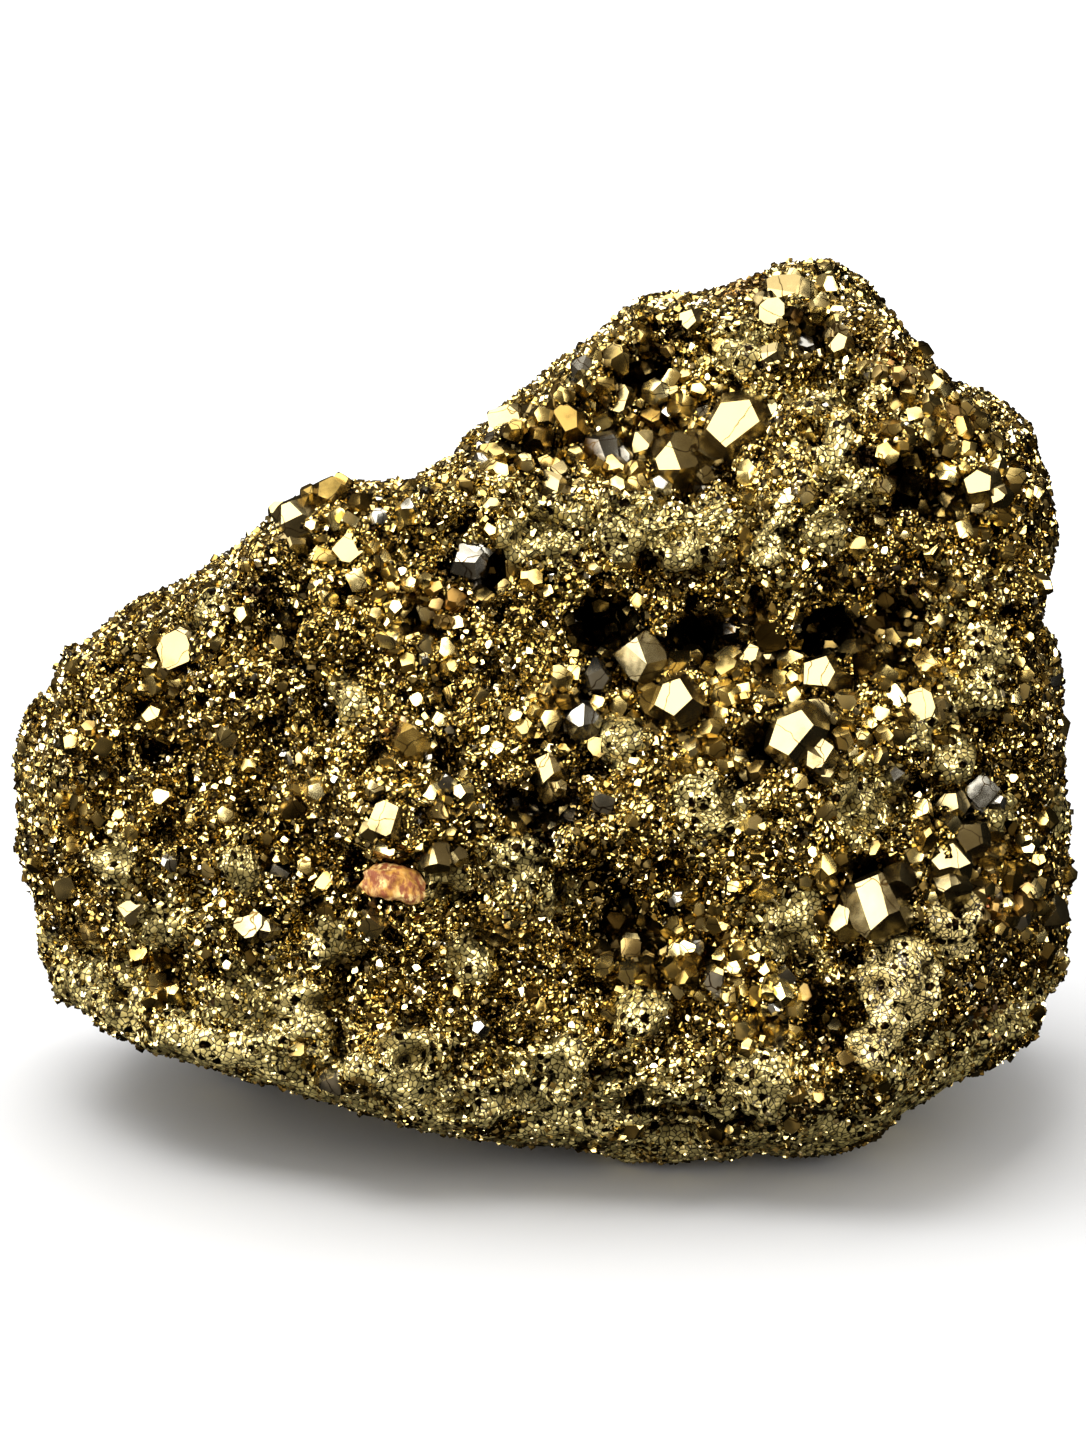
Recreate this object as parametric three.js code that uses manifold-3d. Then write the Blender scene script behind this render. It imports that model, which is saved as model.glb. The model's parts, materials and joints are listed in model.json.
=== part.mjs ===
// A hand specimen of granular pyrite: one mass of grown-together grains with a ledge, lumps,
// dark vugs and larger crystals on it, and one grain of pink feldspar lodged in its front.
// Millimetres, +Z up, the front faces -Y. The origin is on the seat's level, under the middle.

import * as THREE from "three";
import { ConvexGeometry } from "three/addons/geometries/ConvexGeometry.js";
import { ImprovedNoise } from "three/addons/math/ImprovedNoise.js";
import { mergeVertices } from "three/addons/utils/BufferGeometryUtils.js";
import Module from "manifold-3d";

// Driving dimensions. The front is described as it is seen on an upright pane through the middle
// of the stone: u to the right and v up on the pane, both 0 under the middle of the stone.
const VIEW_TILT = THREE.MathUtils.degToRad(16);
const VIEW_DISTANCE = 420;
const VIEW_CENTRE = new THREE.Vector3(0, 0, 33.4);
const PANE_CENTRE = new THREE.Vector2(-0.4, 37.6);

// The outline on the pane, from the left corner over the peak and round the underside.
const FRONT_OUTLINE = [
  [-45.4, 40.2], [-40, 44.3], [-31.8, 48.8], [-21.5, 55.7], [-10.5, 59.2], [-4, 63.2], [4.8, 73.2],
  [10.5, 75.8], [15.5, 75.5], [17.5, 80], [23, 83], [26.5, 80.5], [31, 68.6], [36.8, 64.2], [41, 61.6],
  [42.8, 56.5], [42.5, 50], [44.2, 31], [43.8, 24.5], [46, 19], [45.4, 14.5], [39.5, 10.3], [30.5, 4.6],
  [23, -0.3], [6, -0.3], [-8.5, 2], [-23, 5], [-40, 10.3], [-45.2, 14], [-44.6, 25],
];
// The side profile, y back and z up, from the seat's front edge up the front and down the back.
const SIDE_PROFILE = [
  [-17, -3], [-24, 5], [-27.5, 11], [-26, 26], [-22.5, 42], [-18, 55], [-10, 67], [-2, 76],
  [6, 83], [15, 77], [22, 62], [26.5, 45], [28, 28], [25, 12], [17, 1], [14, -3],
];
// The plan, x right and y back, from the left corner along the front and back round.
const PLAN_OUTLINE = [
  [-47, 2], [-40, -14], [-22, -23], [4, -28], [27, -27.5], [40, -16], [46.5, 2],
  [45, 17], [34, 26], [10, 29], [-20, 25], [-40, 15],
];
// The underside seen from the front, x right and z up: it rises to both sides of the seat.
const UNDERSIDE = [[-50, 13.5], [-30, 3], [-16, -3], [27, -3], [38, 7], [50, 20], [50, 90], [-50, 90]];

const REACH = 70; // half length of the prisms that the outlines are cut from
const HEART = new THREE.Vector3(5, 0, 31); // every point of the surface is in sight from here
const SURFACE_DETAIL = 13;
const SMOOTHING_ROUNDS = 2;
const SMOOTHING_PULL = 0.5; // of the way to the middle of a point's neighbours

// Lumps all over: wavelength and height of each size of lump, and how far apart their patterns start.
const LUMPS = [[22, 2.4], [9, 2.6], [5, 1.2]];
const LUMP_OFFSET = 7;

// Broad swells (+) and hollows (-) of the front: u, v, reach and height.
const SWELLS = [
  [-4, 55, 6, 2.6], [6, 53, 6.5, 3.8], [16, 52.5, 6.5, 4], [25, 54, 6, 3], // the ledge
  [22.5, 75.5, 4, 1.6], [28.5, 63, 5, 2.8], [29, 69, 4.5, 1.6], // the peak and its ridge
  [3, 63, 6.5, -3.8], [11, 63.5, 6.5, -4.4], [9, 68, 4.5, -2.4], // the recess above the ledge
  [4, 45.5, 5, -3], [14, 45, 5.5, -3], [24, 45, 5, -2.8], // the row of hollows below it
  [30, 15.5, 5, 3], [35.5, 21, 3.6, 2.2], [25, 8, 6, 2], // lumps at the lower right
  [20, 28, 6, 2], [10, 30, 4.5, 1.8], [-12, 30, 8, 1.4], [-33, 25, 6, 1.8],
  [-26, 13, 8, 1.8], [-8, 8, 8, 1.8], [8, 7, 7, 1.4], // the rim over the underside
  [-20, 44, 7, -1.8], [-5, 38, 7, -1.8], [35, 41, 6, -1.8], [6, 20, 5, -1.6],
];

// Vugs of the front: u, v, half width and half height on the pane.
const VUGS = [
  [4.5, 45.8, 3.4, 2.7], [13.5, 45.2, 3.3, 1.9], [24.4, 45.6, 2.5, 2.5], [30, 46.6, 2, 1.6],
  [30.5, 42.2, 1.5, 2.6], [33.4, 58.6, 3.8, 3.5], [22.3, 71.6, 2.2, 1.9], [7.8, 67.4, 2, 2.1],
  [-1.5, 61, 1.9, 2.2], [-4.9, 50.6, 1.8, 1.8], [-0.3, 31, 2.4, 1.7], [18.4, 35.8, 2, 1.6],
  [27.4, 25, 1.7, 2.4], [36.3, 27.3, 2.1, 2], [7, 19.6, 2.6, 2], [-23.4, 46, 2.5, 2],
  [24.4, 13.2, 1.9, 1.9], [-33, 16.2, 1.8, 1.2], [-33.2, 34.9, 2.1, 1.5], [12, 3.6, 4, 1.4],
];
const VUG_DEPTH = 1.5; // of its half width
const VUG_SUNK = 0.5; // of its half width, from the surface to its middle
const VUG_WOBBLE = 0.25;
const VUG_WOBBLE_PITCH = 1.7;
const VUG_DETAIL = 1;

// Larger crystals of the front: u, v and size across.
const CRYSTALS = [
  [15.9, 62.4, 5], [11, 59.4, 4], [-3.7, 63.4, 3.3], [0.3, 57.4, 2.8], [-21.9, 55.2, 3.3],
  [-32, 43.4, 3], [-18.5, 57.2, 3], [7.9, 43.3, 4.2], [10.8, 39.6, 3.8], [-0.3, 34, 3.2],
  [21.8, 35.8, 4.6], [23, 41.6, 3.6], [27.2, 21.6, 4.4], [33.6, 25.8, 3.8], [32, 39, 2.8],
  [35.4, 21, 5], [37.2, 58.2, 3.6], [20.1, 74.2, 4.2], [24.8, 70.4, 3.2], [-9.2, 26, 3],
  [-25.3, 20.5, 2.8], [-35, 21.3, 3], [-13.4, 29.8, 3.2], [-7, 50.7, 2.6], [43, 20.8, 3],
  [4.5, 60.8, 3], [8, 63, 3.2], [1.5, 65.5, 2.8], [5, 39.5, 3], [2.5, 41.8, 2.6],
];
const CRYSTAL_SUNK = 0.22; // of its size, from the surface to its middle
const CRYSTAL_FACING = new THREE.Vector3(-0.25, -0.8, 0.55); // the larger flat faces look this way
const CRYSTAL_TILT = 0.45; // how far a crystal is turned away from that
const PYRITOHEDRON_ROOF = 1.5; // height of the roof edges over a cube of half size 1
const CUT_CUBE_EDGE = 0.45; // what a cut cube keeps of its edges

// Crystals and vugs of the sides and the back: how many, sizes, and where round the stone.
const SCATTERED_CRYSTALS = 14;
const SCATTERED_CRYSTAL_SIZE = [2.8, 4.8];
const SCATTERED_VUGS = 7;
const SCATTERED_VUG_SIZE = [1.6, 3];
const SCATTERED_VUG_HEIGHT = [0.6, 1]; // of its width
const SCATTER_TURN = [-0.15, 1.15]; // half turns, from the right side round the back
const SCATTER_RISE = [-0.35, 0.75];

// The feldspar grain: place on the pane, half sizes, and how far its middle is sunk.
const FELDSPAR_PLACE = [-13, 24];
const FELDSPAR_HALF = [2.75, 1.5, 1.35];
const FELDSPAR_SUNK = 0.35;
const FELDSPAR_TURN = THREE.MathUtils.degToRad(-9);
const FELDSPAR_GAP = 0.3; // to the socket
const FELDSPAR_WEAR = 0.35;
const FELDSPAR_WEAR_PITCH = 1.6;
const FELDSPAR_WEAR_OFFSET = 3.3;
const FELDSPAR_DETAIL = 2;

const SEED = 11;
const WELD = 1e-4;

// Tools

const wasm = await Module();
wasm.setup();

const noise = new ImprovedNoise();
THREE.MathUtils.seededRandom(SEED);
const random = () => THREE.MathUtils.seededRandom();
const between = ([low, high]) => low + (high - low) * random();

function weld(geometry) {
  const bare = geometry.clone();
  bare.deleteAttribute("normal");
  bare.deleteAttribute("uv");
  return mergeVertices(bare, WELD);
}

function toSolid(geometry) {
  const welded = weld(geometry);
  return new wasm.Manifold(new wasm.Mesh({
    numProp: 3,
    vertProperties: new Float32Array(welded.attributes.position.array),
    triVerts: new Uint32Array(welded.index.array),
  }));
}

function toGeometry(solid) {
  const { vertProperties, triVerts } = solid.getMesh();
  const geometry = new THREE.BufferGeometry();
  geometry.setAttribute("position", new THREE.BufferAttribute(vertProperties, 3));
  geometry.setIndex(new THREE.BufferAttribute(triVerts, 1));
  return geometry;
}

// Moves every vertex of a geometry by a function of its place.
function reshape(geometry, move) {
  const places = geometry.attributes.position;
  const place = new THREE.Vector3();
  for (let i = 0; i < places.count; i += 1) {
    move(place.fromBufferAttribute(places, i), i);
    places.setXYZ(i, place.x, place.y, place.z);
  }
  return geometry;
}

// The view pane: its axes in space, and the ray from the eye through a place on it.
const paneRight = new THREE.Vector3(1, 0, 0);
const paneUp = new THREE.Vector3(0, Math.sin(VIEW_TILT), Math.cos(VIEW_TILT));
const toEye = new THREE.Vector3(0, -Math.cos(VIEW_TILT), Math.sin(VIEW_TILT));
const eye = VIEW_CENTRE.clone().addScaledVector(toEye, VIEW_DISTANCE);

function onPane(u, v) {
  return VIEW_CENTRE.clone()
    .addScaledVector(paneRight, u - PANE_CENTRE.x)
    .addScaledVector(paneUp, v - PANE_CENTRE.y);
}

function firstHit(mesh, from, towards) {
  const ray = new THREE.Raycaster(from, towards.clone().sub(from).normalize());
  const [hit] = ray.intersectObject(mesh);
  return { point: hit.point, normal: hit.face.normal.clone() };
}

const frontPlace = (mesh, [u, v]) => firstHit(mesh, eye, onPane(u, v));

// The rough block, cut from four outlines

function prism(outline, basis) {
  const shape = new THREE.Shape(outline.map(([a, b]) => new THREE.Vector2(a, b)));
  const geometry = new THREE.ExtrudeGeometry(shape, { depth: 2 * REACH, bevelEnabled: false });
  return geometry.translate(0, 0, -REACH).applyMatrix4(basis);
}

// The front outline narrows away from the eye's side, so that from the eye all of it is edge-on.
function frontPrism() {
  const upright = prism(FRONT_OUTLINE, new THREE.Matrix4());
  return reshape(upright, (place) => {
    const nearer = place.z;
    const point = onPane(place.x, place.y);
    place.copy(point.sub(eye).multiplyScalar(1 - nearer / VIEW_DISTANCE).add(eye));
  });
}

function roughBlock() {
  const [x, y, z] = [[1, 0, 0], [0, 1, 0], [0, 0, 1]].map((axis) => new THREE.Vector3(...axis));
  const alongX = new THREE.Matrix4().makeBasis(y, z, x);
  const alongY = new THREE.Matrix4().makeBasis(x, z, y.clone().negate());
  const block = toSolid(frontPrism())
    .intersect(toSolid(prism(SIDE_PROFILE, alongX)))
    .intersect(toSolid(prism(PLAN_OUTLINE, new THREE.Matrix4())))
    .intersect(toSolid(prism(UNDERSIDE, alongY)));
  return new THREE.Mesh(toGeometry(block), new THREE.MeshBasicMaterial({ side: THREE.DoubleSide }));
}

// The weathered surface: the block's faces rounded, lumpy and swollen, and its seat flat

function neighbours(geometry) {
  const found = Array.from({ length: geometry.attributes.position.count }, () => new Set());
  const corners = geometry.index.array;
  for (let i = 0; i < corners.length; i += 3) {
    for (let k = 0; k < 3; k += 1) {
      found[corners[i + k]].add(corners[i + ((k + 1) % 3)]);
      found[corners[i + ((k + 1) % 3)]].add(corners[i + k]);
    }
  }
  return found;
}

function smooth(geometry, around) {
  const before = geometry.attributes.position.clone();
  const other = new THREE.Vector3();
  return reshape(geometry, (place, i) => {
    const middle = new THREE.Vector3();
    around[i].forEach((k) => middle.add(other.fromBufferAttribute(before, k)));
    place.lerp(middle.divideScalar(around[i].size), SMOOTHING_PULL);
  });
}

function lumpHeight(place) {
  return LUMPS.reduce((sum, [wave, height], k) => {
    const { x, y, z } = place.clone().divideScalar(wave);
    return sum + height * noise.noise(x + LUMP_OFFSET * k, y, z);
  }, 0);
}

function weatheredSurface() {
  const block = roughBlock();
  const surface = weld(new THREE.IcosahedronGeometry(1, SURFACE_DETAIL));
  reshape(surface, (place) => place.copy(firstHit(block, HEART, place.clone().add(HEART)).point));
  const around = neighbours(surface);
  for (let round = 0; round < SMOOTHING_ROUNDS; round += 1) smooth(surface, around);

  surface.computeVertexNormals();
  const normal = new THREE.Vector3();
  const plain = new THREE.Mesh(surface.clone());
  const swells = SWELLS.map(([u, v, reach, height]) => ({
    middle: frontPlace(plain, [u, v]).point, reach, height,
  }));
  return reshape(surface, (place, i) => {
    const rise = swells.reduce((sum, { middle, reach, height }) => {
      return sum + height * Math.exp(-((place.distanceTo(middle) / reach) ** 2));
    }, lumpHeight(place));
    place.addScaledVector(normal.fromBufferAttribute(surface.attributes.normal, i), rise);
    place.z = Math.max(place.z, 0);
  });
}

// A scattered place on the sides or the back, well above the seat
function scatteredPlace(mesh) {
  const turn = between(SCATTER_TURN) * Math.PI;
  const outward = new THREE.Vector3(Math.cos(turn), Math.sin(turn), between(SCATTER_RISE));
  return firstHit(mesh, outward.multiplyScalar(REACH * 2).add(HEART), HEART);
}

// Vugs: egg-shaped hollows sunk along the surface normal

function vug({ point, normal }, halfWidth, halfHeight) {
  const egg = weld(new THREE.IcosahedronGeometry(1, VUG_DETAIL));
  reshape(egg, (place) => {
    const { x, y, z } = place.clone().multiplyScalar(VUG_WOBBLE_PITCH).add(point);
    place.multiplyScalar(1 + VUG_WOBBLE * noise.noise(x, y, z));
  });
  egg.scale(halfWidth, halfHeight, VUG_DEPTH * halfWidth);
  const facing = new THREE.Matrix4().lookAt(normal, new THREE.Vector3(), paneUp);
  const sunk = point.clone().addScaledVector(normal, -VUG_SUNK * halfWidth);
  return egg.applyMatrix4(facing.setPosition(sunk));
}

// Crystals: pyritohedra, cubes and cubes with cut corners, one flat face turned to the front

// A pyritohedron has twelve five-sided faces: the cube's corners and a roof edge over each face.
function pyritohedron() {
  const [roof, half] = [PYRITOHEDRON_ROOF, PYRITOHEDRON_ROOF / 2];
  const points = [];
  for (const a of [-1, 1]) {
    for (const b of [-1, 1]) {
      points.push(new THREE.Vector3(0, roof * a, half * b), new THREE.Vector3(half * b, 0, roof * a));
      points.push(new THREE.Vector3(roof * a, half * b, 0));
      for (const c of [-1, 1]) points.push(new THREE.Vector3(a, b, c));
    }
  }
  return { geometry: new ConvexGeometry(points), face: new THREE.Vector3(1, 2, 0).normalize() };
}

function cutCube() {
  const cut = CUT_CUBE_EDGE;
  const points = [];
  for (const a of [-1, 1]) {
    for (const b of [-1, 1]) {
      for (const c of [-1, 1]) {
        points.push(new THREE.Vector3(a * cut, b, c), new THREE.Vector3(a, b * cut, c));
        points.push(new THREE.Vector3(a, b, c * cut));
      }
    }
  }
  return { geometry: new ConvexGeometry(points), face: new THREE.Vector3(0, 1, 0) };
}

const cube = () => ({ geometry: new THREE.BoxGeometry(2, 2, 2), face: new THREE.Vector3(0, 1, 0) });

const HABITS = [pyritohedron, cutCube, pyritohedron, cube];

function crystal({ point, normal }, size, facing, kind) {
  const { geometry, face } = HABITS[kind % HABITS.length]();
  geometry.computeBoundingSphere();
  const scale = size / 2 / geometry.boundingSphere.radius;
  const turned = new THREE.Quaternion().setFromUnitVectors(face, facing);
  const spin = new THREE.Quaternion().setFromAxisAngle(facing, random() * 2 * Math.PI);
  const middle = point.clone().addScaledVector(normal, -CRYSTAL_SUNK * size);
  return geometry.applyMatrix4(
    new THREE.Matrix4().compose(middle, spin.multiply(turned), new THREE.Vector3(scale, scale, scale)),
  );
}

const tilted = (direction) => direction.clone()
  .add(new THREE.Vector3(random() - 0.5, random() - 0.5, random() - 0.5).multiplyScalar(CRYSTAL_TILT))
  .normalize();

// The feldspar grain: a long worn splinter, and the socket that it is lodged in

function feldsparGrain({ point, normal }, grow) {
  const grain = weld(new THREE.IcosahedronGeometry(1, FELDSPAR_DETAIL));
  reshape(grain, (place) => {
    const { x, y, z } = place.clone().multiplyScalar(FELDSPAR_WEAR_PITCH).addScalar(FELDSPAR_WEAR_OFFSET);
    place.multiplyScalar(1 + FELDSPAR_WEAR * noise.noise(x, y, z));
  });
  grain.scale(...FELDSPAR_HALF.map((half) => half + grow)).rotateZ(FELDSPAR_TURN);
  const facing = new THREE.Matrix4().lookAt(normal, new THREE.Vector3(), paneUp);
  return grain.applyMatrix4(facing.setPosition(point.clone().addScaledVector(normal, -FELDSPAR_SUNK)));
}

// Assembly

const surface = weatheredSurface();
const bare = new THREE.Mesh(surface, new THREE.MeshBasicMaterial());
let mass = toSolid(surface);

VUGS.forEach(([u, v, halfWidth, halfHeight]) => {
  mass = mass.subtract(toSolid(vug(frontPlace(bare, [u, v]), halfWidth, halfHeight)));
});
for (let i = 0; i < SCATTERED_VUGS; i += 1) {
  const size = between(SCATTERED_VUG_SIZE);
  mass = mass.subtract(toSolid(vug(scatteredPlace(bare), size, size * between(SCATTERED_VUG_HEIGHT))));
}

CRYSTALS.forEach(([u, v, size], i) => {
  const place = frontPlace(bare, [u, v]);
  mass = mass.add(toSolid(crystal(place, size, tilted(CRYSTAL_FACING), i)));
});
for (let i = 0; i < SCATTERED_CRYSTALS; i += 1) {
  const place = scatteredPlace(bare);
  mass = mass.add(toSolid(crystal(place, between(SCATTERED_CRYSTAL_SIZE), tilted(place.normal), i)));
}

const lodging = frontPlace(bare, FELDSPAR_PLACE);
mass = mass.subtract(toSolid(feldsparGrain(lodging, FELDSPAR_GAP)));

// The middle of the mass, seen from above, is put over the origin.
const massGeometry = toGeometry(mass);
massGeometry.computeBoundingBox();
const middle = massGeometry.boundingBox.getCenter(new THREE.Vector3()).setZ(0);

const pyrite = new THREE.Mesh(
  massGeometry,
  new THREE.MeshStandardMaterial({ color: 0xb9a25c, roughness: 0.32, metalness: 1, flatShading: true }),
);
pyrite.name = "pyrite_mass";

const feldspar = new THREE.Mesh(
  feldsparGrain(lodging, 0),
  new THREE.MeshStandardMaterial({ color: 0xd9946a, roughness: 0.7, metalness: 0, flatShading: true }),
);
feldspar.name = "feldspar_grain";

const specimen = new THREE.Group();
const seated = new THREE.Group();
seated.position.copy(middle).negate();
seated.add(pyrite, feldspar);
specimen.add(seated);

export default specimen;
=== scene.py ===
import itertools
import json
import math

import bpy
import numpy as np
from mathutils import Euler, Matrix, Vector, noise
from mathutils.bvhtree import BVHTree
from mathutils.kdtree import KDTree

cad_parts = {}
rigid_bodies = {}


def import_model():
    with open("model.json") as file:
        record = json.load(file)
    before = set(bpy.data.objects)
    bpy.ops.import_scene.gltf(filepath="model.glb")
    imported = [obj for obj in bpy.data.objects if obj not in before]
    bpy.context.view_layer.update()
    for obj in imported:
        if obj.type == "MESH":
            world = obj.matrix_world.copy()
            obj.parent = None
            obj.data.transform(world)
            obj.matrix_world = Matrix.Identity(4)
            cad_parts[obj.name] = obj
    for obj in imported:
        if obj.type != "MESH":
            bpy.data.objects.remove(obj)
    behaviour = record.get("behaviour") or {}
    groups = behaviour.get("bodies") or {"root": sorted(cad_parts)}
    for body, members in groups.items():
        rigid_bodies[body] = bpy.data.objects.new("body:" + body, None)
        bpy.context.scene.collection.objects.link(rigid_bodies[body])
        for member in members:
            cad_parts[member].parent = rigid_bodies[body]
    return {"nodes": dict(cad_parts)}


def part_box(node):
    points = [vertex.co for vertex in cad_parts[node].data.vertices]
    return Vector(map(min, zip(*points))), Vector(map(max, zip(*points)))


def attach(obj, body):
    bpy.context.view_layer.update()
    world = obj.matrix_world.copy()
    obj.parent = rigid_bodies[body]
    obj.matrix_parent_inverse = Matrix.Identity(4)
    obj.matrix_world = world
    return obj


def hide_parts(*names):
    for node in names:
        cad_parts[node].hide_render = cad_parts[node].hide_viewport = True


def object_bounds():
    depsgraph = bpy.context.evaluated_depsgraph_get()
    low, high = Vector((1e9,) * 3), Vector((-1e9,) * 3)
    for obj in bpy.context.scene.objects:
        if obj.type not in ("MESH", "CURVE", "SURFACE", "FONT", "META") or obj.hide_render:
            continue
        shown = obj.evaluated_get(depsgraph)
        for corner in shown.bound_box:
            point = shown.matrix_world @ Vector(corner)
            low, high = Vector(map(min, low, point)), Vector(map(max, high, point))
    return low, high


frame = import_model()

# The view that the front is described in
# The front of the stone is laid out on a pane through its middle that faces the eye: u to the right
# and v up, in millimetres, both 0 at the stone's foot under its middle.

MM = 0.001

VIEW_TILT = math.radians(16)
VIEW_DISTANCE = 420 * MM
VIEW_CENTRE = Vector((-0.3, 0.5, 33.4)) * MM
PANE_CENTRE = (-0.4, 37.6)

pane_right = Vector((1, 0, 0))
pane_up = Vector((0, math.sin(VIEW_TILT), math.cos(VIEW_TILT)))
to_eye = Vector((0, -math.cos(VIEW_TILT), math.sin(VIEW_TILT)))
eye = VIEW_CENTRE + to_eye * VIEW_DISTANCE


def surface_tree(mesh):
    """A search tree of a mesh's faces."""
    places = [v.co for v in mesh.vertices]
    return BVHTree.FromPolygons(places, [p.vertices for p in mesh.polygons])


def front_place(tree, u, v):
    """Place and outward normal where the line of sight through (u, v) meets the surface or its edge."""
    across, up = (u - PANE_CENTRE[0]) * MM, (v - PANE_CENTRE[1]) * MM
    on_pane = VIEW_CENTRE + pane_right * across + pane_up * up
    place, normal, _, _ = tree.ray_cast(eye, on_pane - eye)
    if place is None:
        place, normal, _, _ = tree.find_nearest(on_pane)
    return np.array(place), np.array(normal)


def pane_places(places):
    """Where each place is seen on the pane: u and v in millimetres."""
    sight = places - np.array(eye)
    sight *= VIEW_DISTANCE / -(sight @ np.array(to_eye))[:, None]
    on_pane = (sight + np.array(eye - VIEW_CENTRE)) / MM
    across, up = on_pane @ np.array(pane_right), on_pane @ np.array(pane_up)
    return across + PANE_CENTRE[0], up + PANE_CENTRE[1]


# Ground mass
# The body of the stone: fine granular pyrite, grown together as one mass, with a ledge, lumps and
# hollows. It is brassy brown, with painted shade between its facets and in pores and deep hollows, and on
# weathered patches a paler, duller crust. It has the solid's own form, roughened, just under the tips of the
# grains.

cad_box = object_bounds()
mass = frame["nodes"]["pyrite_mass"]
mass_tree = surface_tree(mass.data)

VOXEL = 0.57 * MM
SOFTENING_ROUNDS = 7
GRAIN_COVER = 0.2 * MM  # how far it is under the solid's surface
LUMPS = [(7.0 * MM, 0.9 * MM), (2.6 * MM, 0.55 * MM)]  # how far apart, and how high
LOBE_WIDTH = 4.2 * MM
CREASE_DEPTH = 1.3 * MM
CREASE_WIDTH, CREASE_SHARPNESS = 0.4, 1.5  # of a lobe
CREASES_START, CREASES_FULL = -0.35, 0.25
PIT_WAVE = 2.5 * MM
PIT_DEPTH = 2.1 * MM
PIT_STARTS, PIT_FULL = 0.15, 0.38

# Vugs of the front, which the solid has too: u, v, half width and half height.
VUGS = [
    (4.5, 45.8, 2.8, 2.3), (13.5, 45.0, 2.3, 1.4), (24.4, 45.9, 1.8, 1.8), (30.2, 46.5, 1.7, 1.6),
    (30.4, 42.2, 1.1, 1.7), (34.2, 57, 1.3, 1.2), (22.3, 71.6, 1.4, 1.3), (7.8, 67.4, 0.9, 1.0),
    (-3.2, 60.8, 1.2, 1.3), (-4.9, 50.6, 1.2, 1.2), (-0.3, 31, 1.3, 1.0), (18.2, 36.2, 1.8, 1.6),
    (24.5, 25, 1.0, 1.2), (36.3, 27.3, 0.9, 1.0), (7, 19.6, 1.3, 1.1), (-11.3, 46.2, 1.9, 1.3),
    (-33, 16.2, 1.3, 0.9), (-33.2, 41, 1.1, 0.8), (10.8, 2.9, 2.6, 0.9), (-8, 4.8, 2.2, 0.8),
    (-20.5, 7.2, 1.6, 0.7), (-3, 4.4, 1.4, 0.6), (18, 3.0, 1.8, 0.7), (-40.5, 30, 0.9, 0.9),
    (-8, 32, 0.8, 0.8), (36.4, 55, 1.0, 1.1), (-14.5, 50.5, 0.9, 0.8),
]
# Hollows of the solid that are shallower here: u, v, reach and how much, in millimetres.
FILLED = [(-23.4, 46, 3.0, 2.4), (33.4, 59.4, 3.4, 1.6), (3.2, 26.4, 3.2, 1.6), (8.1, 69.3, 2.4, 1.0)]
VUG_DEEPER = 1.3  # of its half width
VUG_EDGE_WAVE, VUG_EDGE = 2.4 * MM, 0.9  # how ragged its rim is

# The stone's upper and lower outline, seen from the front: u and v.
UPPER_RIM = [
    (-43, 42.5), (-40.6, 44.3), (-37.2, 47.3), (-29.6, 51.3), (-26.2, 53.6), (-21.9, 56.8),
    (-18.5, 58.4), (-11.7, 58.9), (-9.2, 60.5), (-5.8, 63.7), (1, 69.1), (7.8, 74.1), (14.6, 74.6),
    (17.2, 76.4), (20.6, 77.4), (24, 77.6), (26.5, 75.8), (29.1, 73.7), (31.6, 70.5), (34.2, 67.7),
    (39.3, 65.4), (41.8, 62.2),
]
LOWER_RIM = [
    (-43.6, 16), (-42.5, 14.2), (-39, 11.8), (-34.7, 9.9), (-26.2, 7.1), (-18.3, 5), (-9.2, 2.5),
    (-2.4, 1.6), (2.1, 1.5), (6.7, 0), (24.8, 0.8), (27.6, 2.2), (30.5, 4.5), (35, 6.7), (39.5, 8.8),
    (43.5, 12.4),
]
RIM_STEP = 1.2
RIM_FADE = 5.0  # how far in from the outline the stone moves with it
RIM_MOST = 3.0
RIM_ENDS = 3.0
RELIEF_SINKS = 0.25  # how far the relief brings the outline in

# Weathered patches of the front: u, v and reach.
CRUST_PATCHES = [
    (-5.8, 56.6, 4), (1, 54, 5), (7.8, 55.2, 5), (14.6, 54.9, 5), (21.4, 53.2, 5), (25.7, 58.3, 4),
    (27.4, 63.4, 4), (24.8, 66.8, 3.5), (15.5, 70.2, 4), (20, 64, 3.5), (-33.8, 20, 5),
    (-37.2, 15.4, 5), (-25.3, 13.3, 6), (-18.5, 9, 5), (-10, 6.5, 6), (-0.7, 5.6, 6), (7.8, 5, 6),
    (18, 5, 6), (30.3, 15.4, 5), (35.4, 20.9, 2.6), (20.6, 20, 4), (27.4, 31, 4), (14.6, 30.3, 3.5),
    (-2.4, 26, 3.5), (-37.2, 26, 2.5), (36.5, 39.6, 3.5), (36, 48, 3.5), (-29.6, 48, 2.5),
    (-17.3, 39.6, 2.5), (44.5, 30, 3), (44.5, 37, 3), (44.5, 44, 3), (44, 51, 3),
]
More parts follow.
